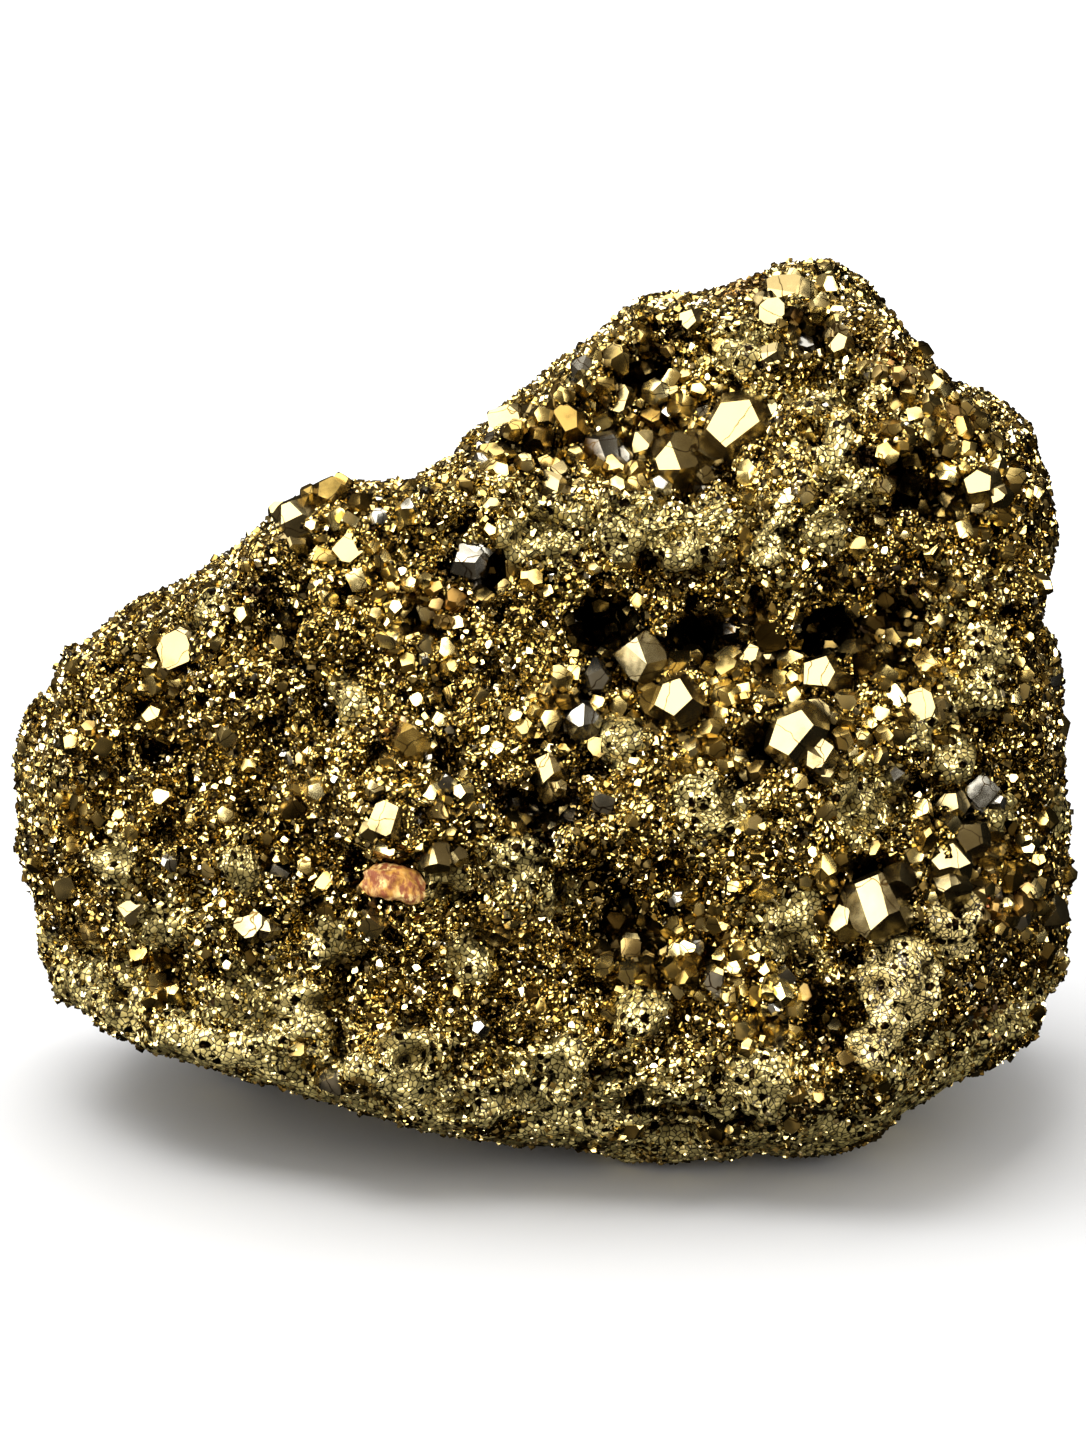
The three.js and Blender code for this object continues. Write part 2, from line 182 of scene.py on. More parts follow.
# Rounded knobs of weathered crust: u, v and radius.
KNOBS = [
    (30.3, 15.4, 4.3), (35.4, 20.9, 3.4), (28.2, 10.7, 3.0), (12.9, 31.5, 2.4), (6.3, 36.5, 2.5),
    (-9.2, 24.3, 2.6), (-2.4, 26, 2.2), (-37.2, 26, 2.6), (-33.8, 20, 2.6), (21.4, 22.2, 2.0),
    (14.6, 30.3, 2.6), (20.6, 20, 2.3), (-18.5, 19.2, 2.6), (-26.2, 25.2, 2.2), (1, 22.6, 2.2),
    (-6.6, 17.5, 2.4), (7.8, 13.3, 2.6), (18, 7.3, 3.0), (-21, 13.3, 2.6), (1, 9, 2.6), (12, 51.5, 2.6),
    (6.1, 53.2, 2.4), (18, 53.2, 2.6), (-2.4, 53.2, 2.3), (24, 54, 2.3), (25.7, 31.1, 2.1),
    (35, 34.5, 2.2), (37.6, 43.9, 2.3), (32.5, 37, 1.8), (-29, 9.5, 2.4), (-12, 10, 2.4), (24, 62, 2.2),
    (16, 69, 2.2), (-29.6, 48, 2.0), (-17.3, 39.6, 2.0), (39, 30, 2.0),
]
KNOB_HEIGHT = 0.4  # of its radius
PALE_KNOBS = 3  # the first of them are the palest
KNOB_PALENESS = 0.25  # of the others
KNOB_GROOVE, KNOB_GROOVE_WIDTH = 0.6 * MM, 0.16  # how deep round it, and how wide for its radius
CRUST_WAVE = 15 * MM
CRUST_STARTS, CRUST_FULL = 0.2, 0.42
PATCH_EDGE, KNOB_EDGE = (0.2, 0.8), (0.36, 0.5)  # where the crust starts and is full, 1 in the middle
PATCH_BREAK_WAVE, PATCH_BREAKS = 5 * MM, (-0.45, 0.05)
FOOT_CRUST, FOOT_FADE = 6.5, 2.5  # how far up from the lower outline
FOOT_BREAK_WAVE, FOOT_BREAKS = 4 * MM, (-0.5, 0.0)
FOOT_WORN, FOOT_WORN_HEIGHT = 0.6, FOOT_CRUST / 2  # how much lower the relief is there, and how far up
UPPER_WORN, UPPER_WORN_WIDTH = 0.55, 3.0  # the same along the upper outline
SIDES_WORN, SIDES_FROM, SIDES_TO, SIDES_SINK = 0.6, 41.5, 44.5, 0.25  # and at both sides
WEARING_ROUNDS, WEARING_STEP = 10, 0.5


def hex_colour(code):
    """Linear colour of an sRGB hex value."""
    parts = [int(code[i:i + 2], 16) / 255 for i in (1, 3, 5)]
    return [*(c / 12.92 if c <= 0.04045 else ((c + 0.055) / 1.055) ** 2.4 for c in parts), 1.0]


def add_node(tree, kind, inputs, **settings):
    """Adds a node with its settings; each input is a value or another node's output."""
    made = tree.nodes.new(kind)
    for name, value in settings.items():
        setattr(made, name, value)
    for name, value in inputs.items():
        if isinstance(value, bpy.types.NodeSocket):
            tree.links.new(value, made.inputs[name])
        else:
            made.inputs[name].default_value = value
    return made


# Sockets of a colour mix, which share their names with those for numbers
MIX_A, MIX_B, MIXED = 6, 7, 2


def new_material(name):
    """A new material, its node tree and the shader in it."""
    material = bpy.data.materials.new(name)
    material.use_nodes = True
    return material, material.node_tree, material.node_tree.nodes["Principled BSDF"]


# The noise runs in straight rows, so it is turned out of line with the stone.
NOISE_TURN = np.array(Euler((0.6, 0.9, 0.4)).to_matrix())


def noise_at(places, wave, offset=0.0):
    """Smooth noise from -1 to 1 at each place, with lumps one wave apart; each offset is another pattern."""
    return np.array([noise.noise(Vector(p)) for p in places @ NOISE_TURN / wave + offset])


def rise(values, start, full):
    """0 below start, 1 above full, and straight between."""
    return np.clip((values - start) / (full - start), 0, 1)


def near_patches(places, patches):
    """How far each place is inside the nearest of the patches on the front, from 0 to 1."""
    inside = np.zeros(len(places))
    for u, v, reach in patches:
        middle, _ = front_place(mass_tree, u, v)
        away = np.linalg.norm(places - middle, axis=1)
        inside = np.maximum(inside, np.exp(-((away / (reach * MM)) ** 2)))
    return inside


def foot_at(places, height):
    """1 along the stone's lower outline, and 0 from a height above it."""
    u, v = pane_places(places)
    return rise(np.interp(u, *np.transpose(LOWER_RIM)) + height - v, 0, FOOT_FADE)


def crust_at(places):
    """How weathered the stone is at each place, from 0 to 1."""
    scattered = rise(noise_at(places, CRUST_WAVE, 5.3), CRUST_STARTS, CRUST_FULL)
    behind = rise(places[:, 1], cad_box[0].y / 2, cad_box[1].y / 2)
    patches = rise(near_patches(places, CRUST_PATCHES), *PATCH_EDGE)
    patches *= rise(noise_at(places, PATCH_BREAK_WAVE, 7.7), *PATCH_BREAKS)
    knobs = rise(near_patches(places, KNOBS), *KNOB_EDGE)
    foot = foot_at(places, FOOT_CRUST) * rise(noise_at(places, FOOT_BREAK_WAVE, 4.4), *FOOT_BREAKS)
    return np.maximum.reduce([patches, knobs, foot, scattered * behind])


def creases_at(places):
    """0 on the lobes and up to 1 in the creases between them."""
    found = np.empty(len(places))
    for i, place in enumerate(places / LOBE_WIDTH):
        (nearest, second, _, _), _ = noise.voronoi(Vector(place))
        found[i] = second - nearest
    patchy = rise(noise_at(places, 2 * LOBE_WIDTH, 3.9), CREASES_START, CREASES_FULL)
    return (1 - rise(found, 0, CREASE_WIDTH)) ** CREASE_SHARPNESS * np.maximum(patchy, crust_at(places))


def openness(places, normals):
    """How much of the view out of each place is free of the ground mass, from 0 in a deep hole to 1."""
    turn = np.arange(SKY_RAYS) * math.pi * (3 - math.sqrt(5))
    height = 1 - 2 * (np.arange(SKY_RAYS) + 0.5) / SKY_RAYS
    level = np.sqrt(1 - height ** 2)
    ways = np.stack([level * np.cos(turn), level * np.sin(turn), height], axis=1)
    seen = normals @ ways.T > SKY_RISE
    free = np.zeros(len(places))
    rays = [Vector(way) for way in ways]
    for i, start in enumerate(places + normals * SKY_START):
        begin = Vector(start)
        free[i] = np.mean([
            ground_tree.ray_cast(begin, rays[k], SKY_REACH)[0] is None for k in np.flatnonzero(seen[i])
        ])
    return free


def knobs_at(places, knobs):
    """How high the knobs of the front, given by u, v, radius and height, stand at each place."""
    tall = np.zeros(len(places))
    for u, v, radius, height in knobs:
        middle, _ = front_place(mass_tree, u, v)
        away = np.linalg.norm(places - middle, axis=1) / (radius * MM)
        tall = np.maximum(tall, height * MM * np.sqrt(np.maximum(1 - away ** 2, 0)))
    return tall


def grooves_at(places):
    """0 away from the grooves round the knobs, and 1 in the middle of one."""
    deep = np.zeros(len(places))
    for u, v, radius in KNOBS:
        middle, _ = front_place(mass_tree, u, v)
        away = np.linalg.norm(places - middle, axis=1) / (radius * MM)
        deep = np.maximum(deep, 1 - abs(away - 1 - KNOB_GROOVE_WIDTH / 2) / KNOB_GROOVE_WIDTH)
    return deep


def mesh_array(mesh, kind):
    """Places or normals of a mesh's vertices: kind is co or normal."""
    values = np.empty(len(mesh.vertices) * 3)
    mesh.vertices.foreach_get(kind, values)
    return values.reshape(-1, 3)


def store(mesh, name, values):
    """Keeps one number for each vertex, for the material to read."""
    mesh.attributes.new(name, "FLOAT", "POINT").data.foreach_set("value", values.astype(np.float32))


def show(name, mesh, material):
    """Puts a mesh with its material in the scene, as a piece of the stone."""
    piece = bpy.data.objects.new(name, mesh)
    bpy.context.scene.collection.objects.link(piece)
    mesh.materials.clear()
    mesh.materials.append(material)
    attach(piece, "root")
    return piece


def to_rim(places, rim, side):
    """How far up each place near the upper (1) or lower (-1) outline moves for the outline to meet a rim."""
    u, v = pane_places(places)
    columns = np.arange(u.min(), u.max(), RIM_STEP)
    column = np.clip(np.round((u - columns[0]) / RIM_STEP).astype(int), 0, len(columns) - 1)
    edge = np.full(len(columns), -np.inf)
    np.maximum.at(edge, column, v * side)
    edge = np.interp(u, columns, edge) * side
    wanted = np.interp(u, *np.transpose(rim)) + side * RELIEF_SINKS
    near = np.clip(1 - side * (edge - v) / RIM_FADE, 0, 1)
    within = rise(u, rim[0][0], rim[0][0] + RIM_ENDS) * (1 - rise(u, rim[-1][0] - RIM_ENDS, rim[-1][0]))
    return np.clip(wanted - edge, -RIM_MOST, RIM_MOST) * near * within


def evenly_meshed(solid, voxel):
    """A solid's form in even small faces, with its facets softened."""
    block = bpy.data.objects.new("block", solid.copy())
    bpy.context.scene.collection.objects.link(block)
    block.modifiers.new("joined", "WELD").merge_threshold = 0.001 * MM
    even = block.modifiers.new("even", "REMESH")
    even.mode = "VOXEL"
    even.voxel_size = voxel
    block.modifiers.new("soft", "SMOOTH").iterations = SOFTENING_ROUNDS
    mesh = bpy.data.meshes.new_from_object(block.evaluated_get(bpy.context.evaluated_depsgraph_get()))
    bpy.data.objects.remove(block)
    return mesh


def worn_smooth(mesh, places, worn):
    """The places of a mesh's vertices with the relief rounded where it is worn, from 0 to 1."""
    ends = np.empty(len(mesh.edges) * 2, np.int32)
    mesh.edges.foreach_get("vertices", ends)
    ends = ends.reshape(-1, 2)
    near, far = np.concatenate([ends[:, 0], ends[:, 1]]), np.concatenate([ends[:, 1], ends[:, 0]])
    neighbours = np.bincount(near, minlength=len(places))
    for _ in range(WEARING_ROUNDS):
        mean = [np.bincount(near, places[far, k], len(places)) / neighbours for k in range(3)]
        places = places + WEARING_STEP * worn[:, None] * (np.stack(mean, axis=1) - places)
    return places


def ground_mass_mesh():
    """The solid's form with lumps, knobs, creases, pits and vugs."""
    mesh = evenly_meshed(mass.data, VOXEL)
    places = mesh_array(mesh, "co")
    for rim, side in ((UPPER_RIM, 1), (LOWER_RIM, -1)):
        places += np.array(pane_up) * (to_rim(places, rim, side) * MM)[:, None]
    mesh.vertices.foreach_set("co", places.ravel())
    mesh.update()
    crust = crust_at(places)
    height = np.full(len(places), -GRAIN_COVER)
    for wave, tall in LUMPS:
        height += tall * noise_at(places, wave)
    height -= CREASE_DEPTH * creases_at(places)
    height -= PIT_DEPTH * rise(noise_at(places, PIT_WAVE, 2.7), PIT_STARTS, PIT_FULL)
    foot = foot_at(places, FOOT_WORN_HEIGHT)
    height *= 1 - FOOT_WORN * foot
    u, v = pane_places(places)
    upper = rise(v - np.interp(u, *np.transpose(UPPER_RIM)), -UPPER_WORN_WIDTH, -UPPER_WORN_WIDTH / 3)
    sides = rise(abs(u), SIDES_FROM, SIDES_TO)
    height *= 1 - np.maximum(UPPER_WORN * upper, SIDES_WORN * sides)
    height -= SIDES_SINK * MM * sides
    height += knobs_at(places, [(*knob, KNOB_HEIGHT * knob[2]) for knob in KNOBS] + FILLED)
    height -= KNOB_GROOVE * grooves_at(places)
    worn = np.maximum.reduce([upper, sides, foot])
    normals = mesh_array(mesh, "normal")
    facing = normals @ np.array(to_eye) > 0
    places += normals * height[:, None]
    ragged = 1 + VUG_EDGE * noise_at(places, VUG_EDGE_WAVE, 6.2)
    for middle_u, middle_v, half_width, half_height in VUGS:
        within = ragged - ((u - middle_u) / half_width) ** 2 - ((v - middle_v) / half_height) ** 2
        deeper = VUG_DEEPER * half_width * MM * np.sqrt(np.maximum(within, 0)) * facing
        places -= np.array(to_eye) * deeper[:, None]
    places = worn_smooth(mesh, places, worn)
    places[:, 2] = np.maximum(places[:, 2], 0)
    mesh.vertices.foreach_set("co", places.ravel())
    mesh.update()
    store(mesh, "crust", crust)
    store(mesh, "foot", foot_at(places, FOOT_CRUST))
    knobs = KNOB_PALENESS * rise(near_patches(places, KNOBS), *KNOB_EDGE)
    palest = rise(near_patches(places, KNOBS[:PALE_KNOBS]), *KNOB_EDGE)
    store(mesh, "knob", np.maximum(knobs, palest))
    mesh.shade_smooth()
    return mesh


# Massive pyrite between the grains: sugary, a crowd of tiny facets, each leaning its own way and with its
# own glint, with painted shade between them. It is brassy brown, with small pores and deep hollows painted
# black as shade; grain by grain, weathered patches are paler and duller, and the foot and the knobs are
# nearly matt.
FACET, FACET_LEAN, FACET_ROUND = 0.5 * MM, 0.75, 0.45
CLUSTER, CLUSTER_LEAN, CLUSTER_ROUND = 1.5 * MM, 0.35, 0.5
CRUST_WEAR = 0.35  # how much flatter they are on the crust
KNOB_WEAR = 0.25  # and on the knobs
PAINTED_GAP_SHADE_EDGES = (0.03, 0.15)  # painted shade between facets: of a facet, from its edge in
TINT_WIDTH, TINT_RANGE = 3 * MM, (0.4, 0.6)
BEND_WAVE, BEND = 0.8 * MM, 0.9 * MM  # cracks and pores are bent out of shape
KNOB_CRACKS, KNOB_CRACK_EDGES = 1.5 * MM, (0.05, 0.02)
PORE_SPACING, PORE_WIDTH, PORE_EDGE = 0.95 * MM, 0.45, 0.07
KNOB_BRIGHT = 0.75
CRUST_MATT, FOOT_MATT, KNOB_MATT = 0.12, 0.3, 0.42
FACET_ROUGHNESS, CRUST_ROUGHER = 0.12, 0.16
# Painted shade: the near-black between facets, which is also the colour of the knobs' cracks, and the black
# of pores and deep hollows
PAINTED_GAP_SHADE_AND_CRACK_COLOUR, PAINTED_HOLE_SHADE = "#1e1508", "#140c04"


def massive_pyrite():
    material, tree, shader = new_material("massive pyrite")
    place = add_node(tree, "ShaderNodeTexCoord", {}).outputs["Object"]
    crust, hollow_shade_openness, foot, knob = (
        add_node(tree, "ShaderNodeAttribute", {}, attribute_name=kind).outputs["Fac"]
        for kind in ("crust", "open", "foot", "knob")
    )
    relief = (0, 0, 0)
    for width, lean, round_off in ((CLUSTER, CLUSTER_LEAN, CLUSTER_ROUND), (FACET, FACET_LEAN, FACET_ROUND)):
        cells = add_node(tree, "ShaderNodeTexVoronoi", {"Vector": place, "Scale": 1 / width})
        spoke = {0: place, 1: cells.outputs["Position"]}
        spoke = add_node(tree, "ShaderNodeVectorMath", spoke, operation="SUBTRACT").outputs[0]
        relief = {0: spoke, 1: [round_off / width] * 3, 2: relief}
        relief = add_node(tree, "ShaderNodeVectorMath", relief, operation="MULTIPLY_ADD").outputs[0]
        leaning = {0: cells.outputs["Color"], 1: [2 * lean] * 3, 2: [-lean] * 3}
        leaning = add_node(tree, "ShaderNodeVectorMath", leaning, operation="MULTIPLY_ADD").outputs[0]
        relief = add_node(tree, "ShaderNodeVectorMath", {0: relief, 1: leaning}, operation="ADD").outputs[0]
    chance = add_node(tree, "ShaderNodeTexWhiteNoise", {"Vector": cells.outputs["Position"]}).outputs["Value"]
    worn = add_node(tree, "ShaderNodeMath", {0: chance, 1: crust}, operation="LESS_THAN").outputs[0]
    steep = {0: worn, 1: -CRUST_WEAR, 2: 1.0}
    steep = add_node(tree, "ShaderNodeMath", steep, operation="MULTIPLY_ADD").outputs[0]
    steep = {0: knob, 1: -KNOB_WEAR, 2: steep}
    steep = add_node(tree, "ShaderNodeMath", steep, operation="MULTIPLY_ADD").outputs[0]
    normal = add_node(tree, "ShaderNodeNewGeometry", {}).outputs["Normal"]
    normal = {0: relief, 1: steep, 2: normal}
    normal = add_node(tree, "ShaderNodeVectorMath", normal, operation="MULTIPLY_ADD").outputs[0]
    normal = add_node(tree, "ShaderNodeVectorMath", {0: normal}, operation="NORMALIZE").outputs[0]
    tree.links.new(normal, shader.inputs["Normal"])

    patchy = add_node(tree, "ShaderNodeTexNoise", {"Vector": place, "Scale": 1 / TINT_WIDTH, "Detail": 3.0})
    patchy = {"Value": patchy.outputs["Fac"], "From Min": TINT_RANGE[0], "From Max": TINT_RANGE[1]}
    patchy = add_node(tree, "ShaderNodeMapRange", patchy).outputs["Result"]
    pale = {0: patchy, MIX_A: hex_colour("#a49459"), MIX_B: hex_colour("#dec980")}
    pale = add_node(tree, "ShaderNodeMix", pale, data_type="RGBA").outputs[MIXED]
    fresh = {0: patchy, MIX_A: hex_colour("#72602f"), MIX_B: hex_colour("#b49c58")}
    fresh = add_node(tree, "ShaderNodeMix", fresh, data_type="RGBA").outputs[MIXED]
    colour = {0: worn, MIX_A: fresh, MIX_B: pale}
    colour = add_node(tree, "ShaderNodeMix", colour, data_type="RGBA").outputs[MIXED]
    bright = add_node(tree, "ShaderNodeMath", {0: knob, 1: KNOB_BRIGHT}, operation="MULTIPLY").outputs[0]
    bright = {0: bright, MIX_A: colour, MIX_B: hex_colour("#dac27c")}
    colour = add_node(tree, "ShaderNodeMix", bright, data_type="RGBA").outputs[MIXED]
    # Painted shade: the edges between the facets are darkened to near-black
    edge = {"Vector": place, "Scale": 1 / FACET}
    edge = add_node(tree, "ShaderNodeTexVoronoi", edge, feature="DISTANCE_TO_EDGE").outputs["Distance"]
    within = {"Value": edge, "From Min": PAINTED_GAP_SHADE_EDGES[0], "From Max": PAINTED_GAP_SHADE_EDGES[1]}
    within = add_node(tree, "ShaderNodeMapRange", within).outputs["Result"]
    painted_gap_shade = {0: within, MIX_A: hex_colour(PAINTED_GAP_SHADE_AND_CRACK_COLOUR), MIX_B: colour}
    colour = add_node(tree, "ShaderNodeMix", painted_gap_shade, data_type="RGBA").outputs[MIXED]
    bent = add_node(tree, "ShaderNodeTexNoise", {"Vector": place, "Scale": 1 / BEND_WAVE}).outputs["Color"]
    bent = {0: bent, 1: [BEND] * 3, 2: place}
    bent = add_node(tree, "ShaderNodeVectorMath", bent, operation="MULTIPLY_ADD").outputs[0]
    split = {"Vector": bent, "Scale": 1 / KNOB_CRACKS}
    split = add_node(tree, "ShaderNodeTexVoronoi", split, feature="DISTANCE_TO_EDGE").outputs["Distance"]
    split = {"Value": split, "From Min": KNOB_CRACK_EDGES[0], "From Max": KNOB_CRACK_EDGES[1]}
    split = add_node(tree, "ShaderNodeMapRange", split).outputs["Result"]
    split = add_node(tree, "ShaderNodeMath", {0: split, 1: knob}, operation="MULTIPLY").outputs[0]
    cracks = {0: split, MIX_A: colour, MIX_B: hex_colour(PAINTED_GAP_SHADE_AND_CRACK_COLOUR)}
    colour = add_node(tree, "ShaderNodeMix", cracks, data_type="RGBA").outputs[MIXED]
    # Painted shade: small pores, and places deep in hollows by their openness, are painted near-black
    pores = add_node(tree, "ShaderNodeTexVoronoi", {"Vector": bent, "Scale": 1 / PORE_SPACING})
    wide = add_node(tree, "ShaderNodeSeparateColor", {"Color": pores.outputs["Color"]}).outputs["Red"]
    wide = {0: wide, 1: -PORE_WIDTH, 2: pores.outputs["Distance"]}
    wide = add_node(tree, "ShaderNodeMath", wide, operation="MULTIPLY_ADD").outputs[0]
    solid = {"Value": wide, "From Min": 0.0, "From Max": PORE_EDGE}
    solid = add_node(tree, "ShaderNodeMapRange", solid).outputs["Result"]
    solid = add_node(tree, "ShaderNodeMath", {0: solid, 1: hollow_shade_openness}, operation="MULTIPLY").outputs[0]
    painted_hole_shade = {0: solid, MIX_A: hex_colour(PAINTED_HOLE_SHADE), MIX_B: colour}
    colour = add_node(tree, "ShaderNodeMix", painted_hole_shade, data_type="RGBA").outputs[MIXED]
    tree.links.new(colour, shader.inputs["Base Color"])
    matt = {0: foot, 1: FOOT_MATT, 2: CRUST_MATT}
    matt = add_node(tree, "ShaderNodeMath", matt, operation="MULTIPLY_ADD").outputs[0]
    matt = add_node(tree, "ShaderNodeMath", {0: matt, 1: worn}, operation="MULTIPLY").outputs[0]
    matt = {0: knob, 1: KNOB_MATT, 2: matt}
    matt = add_node(tree, "ShaderNodeMath", matt, operation="MULTIPLY_ADD").outputs[0]
    matt = add_node(tree, "ShaderNodeMath", {0: matt, 1: solid}, operation="MULTIPLY").outputs[0]
    metal = add_node(tree, "ShaderNodeMath", {0: 1.0, 1: matt}, operation="SUBTRACT").outputs[0]
    tree.links.new(metal, shader.inputs["Metallic"])
    rough = {0: worn, 1: CRUST_ROUGHER, 2: FACET_ROUGHNESS}
    rough = add_node(tree, "ShaderNodeMath", rough, operation="MULTIPLY_ADD").outputs[0]
    tree.links.new(rough, shader.inputs["Roughness"])
    return material


# Rays that find how open the stone is: how many, from how far out, how long, and the lowest of them
SKY_RAYS = 22
SKY_START = 0.5 * MM
SKY_REACH = 11 * MM
SKY_RISE = 0.25
# Openness at which the painted shade of hollows starts to lift, and where it is gone
OPEN_STARTS, OPEN_FULL = 0.12, 0.65

ground_mass = show("pyrite_ground_mass", ground_mass_mesh(), massive_pyrite())
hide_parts("pyrite_mass")
ground_tree = surface_tree(ground_mass.data)
# How open each place is, stored as open: the material paints closed-in places near-black as painted shade
painted_shade_openness = openness(mesh_array(ground_mass.data, "co"), mesh_array(ground_mass.data, "normal"))
store(ground_mass.data, "open", rise(painted_shade_openness, OPEN_STARTS, OPEN_FULL))

# Larger crystals
# Well-formed pyrite crystals of 2 to 6 mm on the front: pyritohedra and cubes with cut corners, with
# bright, slightly wavy faces. They are rooted in the ground mass, many with a smaller one grown on.

rng = np.random.default_rng(7)

# u, v, size and whether a face catches the light.
LARGE_CRYSTALS = [
    (15.9, 62.6, 5.6, 1), (18, 63.9, 3.4, 1), (11, 59.5, 4.4, 1), (-3.7, 63.6, 3.2, 1),
    (0.4, 57.5, 2.6, 1), (-21.8, 55.2, 3.6, 1), (-31.9, 43.4, 3.0, 1), (-31.3, 44.9, 2.2, 1),
    (-19, 57.3, 2.8, 0), (8, 43.3, 4.2, 1), (10.5, 39.6, 4.2, 1), (9, 39.2, 3.0, 0),
    (21.8, 36.2, 4.8, 1), (23.3, 34.7, 2.8, 1), (23.1, 42.2, 3.8, 1), (23, 39, 2.6, 1),
    (26.9, 21.6, 5.2, 1), (33.3, 25.6, 4.6, 1), (32, 38.8, 2.8, 1), (37.1, 57.5, 3.0, 1),
    (20.6, 74.5, 3.8, 1), (19.3, 72.9, 2.6, 1), (24.8, 69.8, 2.2, 1), (-9.2, 26, 2.8, 1),
    (-25.3, 20.7, 2.6, 1), (-34.9, 21.3, 2.6, 1), (-13.4, 29.4, 3.2, 1), (-7, 51.3, 2.8, 0),
    (43.1, 21.3, 3.0, 1), (-0.3, 34.1, 3.0, 1), (-11.7, 36.2, 2.6, 0), (18.9, 69, 2.4, 1),
    (12.1, 71.9, 2.0, 1), (6.5, 65.1, 2.6, 1), (2.9, 67.5, 2.4, 0), (37.1, 32, 2.8, 0),
    (34.6, 31.1, 2.6, 1), (3.1, 37.9, 2.8, 0), (16.3, 65.5, 2.6, 0), (13.2, 59.6, 2.4, 0),
    (19.3, 44.7, 2.6, 0), (17.2, 43.6, 2.2, 1), (5.5, 61, 3.0, 0), (8.2, 61.4, 2.6, 1),
    (1.6, 63.3, 2.8, 0), (42.2, 17.8, 2.8, 0), (39.5, 24.5, 2.4, 0), (-17, 52.3, 2.4, 1),
    (29.6, 33.2, 2.4, 0), (4.2, 41.8, 2.8, 0),
]
CRYSTAL_SCALE = 1.3  # from corner to corner, for its size across the faces
CRYSTAL_UNEVEN = (0.9, 1.15)
CRYSTAL_ROOTED = 0.18  # of its size, from the surface in to its middle
KEY_FROM = Vector((-0.52, -0.62, 0.58)).normalized()
CRYSTAL_TILT = 0.08  # how far a bright face may turn from the light
TURNED_AWAY = 4  # times as far, for the others
BRIGHT_TONES, OTHER_TONES = (0.7, 0.87), (0.15, 0.5, 0.97)
GROWN_ON_MOST = 2
GROWN_ON_ASIDE, GROWN_ON_SIZE = 0.42, (0.45, 0.7)  # of the larger one's size
GROWN_ON_TILT = 0.35

# The crystal forms of pyrite by the normals of their faces
CUBE = [n for axis in np.eye(3) for n in (axis, -axis)]
OCTAHEDRON = [np.array(signs) for signs in itertools.product((-1, 1), repeat=3)]
PYRITOHEDRON = [np.roll((0, a, 2 * b), k) for a, b in itertools.product((-1, 1), repeat=2) for k in range(3)]


def crystal_habit(*forms, uneven=0.1):
    """Corners, as far out as 1, and faces of the crystal between the faces of each form at its distance.

    No crystal grows evenly, so the faces are a little off their places.
    """
    normals = np.array([n / np.linalg.norm(n) for family, _ in forms for n in family])
    normals += rng.normal(size=normals.shape) * uneven / 2
    normals /= np.linalg.norm(normals, axis=1)[:, None]
    reach = np.array([distance for family, distance in forms for _ in family])
    reach *= rng.uniform(1 - uneven, 1 + uneven, len(reach))
    corners = []
    for trio in map(list, itertools.combinations(range(len(normals)), 3)):
        if abs(np.linalg.det(normals[trio])) > 1e-6:
            corner = np.linalg.solve(normals[trio], reach[trio])
            if np.all(normals @ corner < reach + 1e-6):
                corners.append(np.round(corner, 6))
    corners = np.unique(corners, axis=0)
    faces = []
    for normal, distance in zip(normals, reach):
        on_face = np.flatnonzero(np.abs(corners @ normal - distance) < 1e-4)
        if len(on_face) < 3:
            continue
        spokes = corners[on_face] - corners[on_face].mean(0)
        angles = np.arctan2(spokes @ np.cross(normal, spokes[0]), spokes @ spokes[0])
        faces.append(on_face[np.argsort(angles)])
    return corners / np.linalg.norm(corners, axis=1).max(), faces


def random_turns(count):
    """Rotation matrices, every direction as likely."""
    q = rng.normal(size=(count, 4))
    w, x, y, z = (q / np.linalg.norm(q, axis=1)[:, None]).T
    rows = [
        [1 - 2 * (y * y + z * z), 2 * (x * y - z * w), 2 * (x * z + y * w)],
        [2 * (x * y + z * w), 1 - 2 * (x * x + z * z), 2 * (y * z - x * w)],
        [2 * (x * z - y * w), 2 * (y * z + x * w), 1 - 2 * (x * x + y * y)],
    ]
    return np.moveaxis(np.array(rows), -1, 0)


def facing_turn(face, towards):
    """A rotation that turns a face's normal towards a direction, with any spin about it."""
    turn = Vector(face).rotation_difference(Vector(towards)).to_matrix()
    spin = Vector(towards).to_track_quat("Z", "Y").to_matrix()
    angle = rng.uniform(0, 2 * math.pi)
    cosine, sine = math.cos(angle), math.sin(angle)
    about = np.array([[cosine, -sine, 0], [sine, cosine, 0], [0, 0, 1]])
    return np.array(spin) @ about @ np.array(spin).T @ np.array(turn)


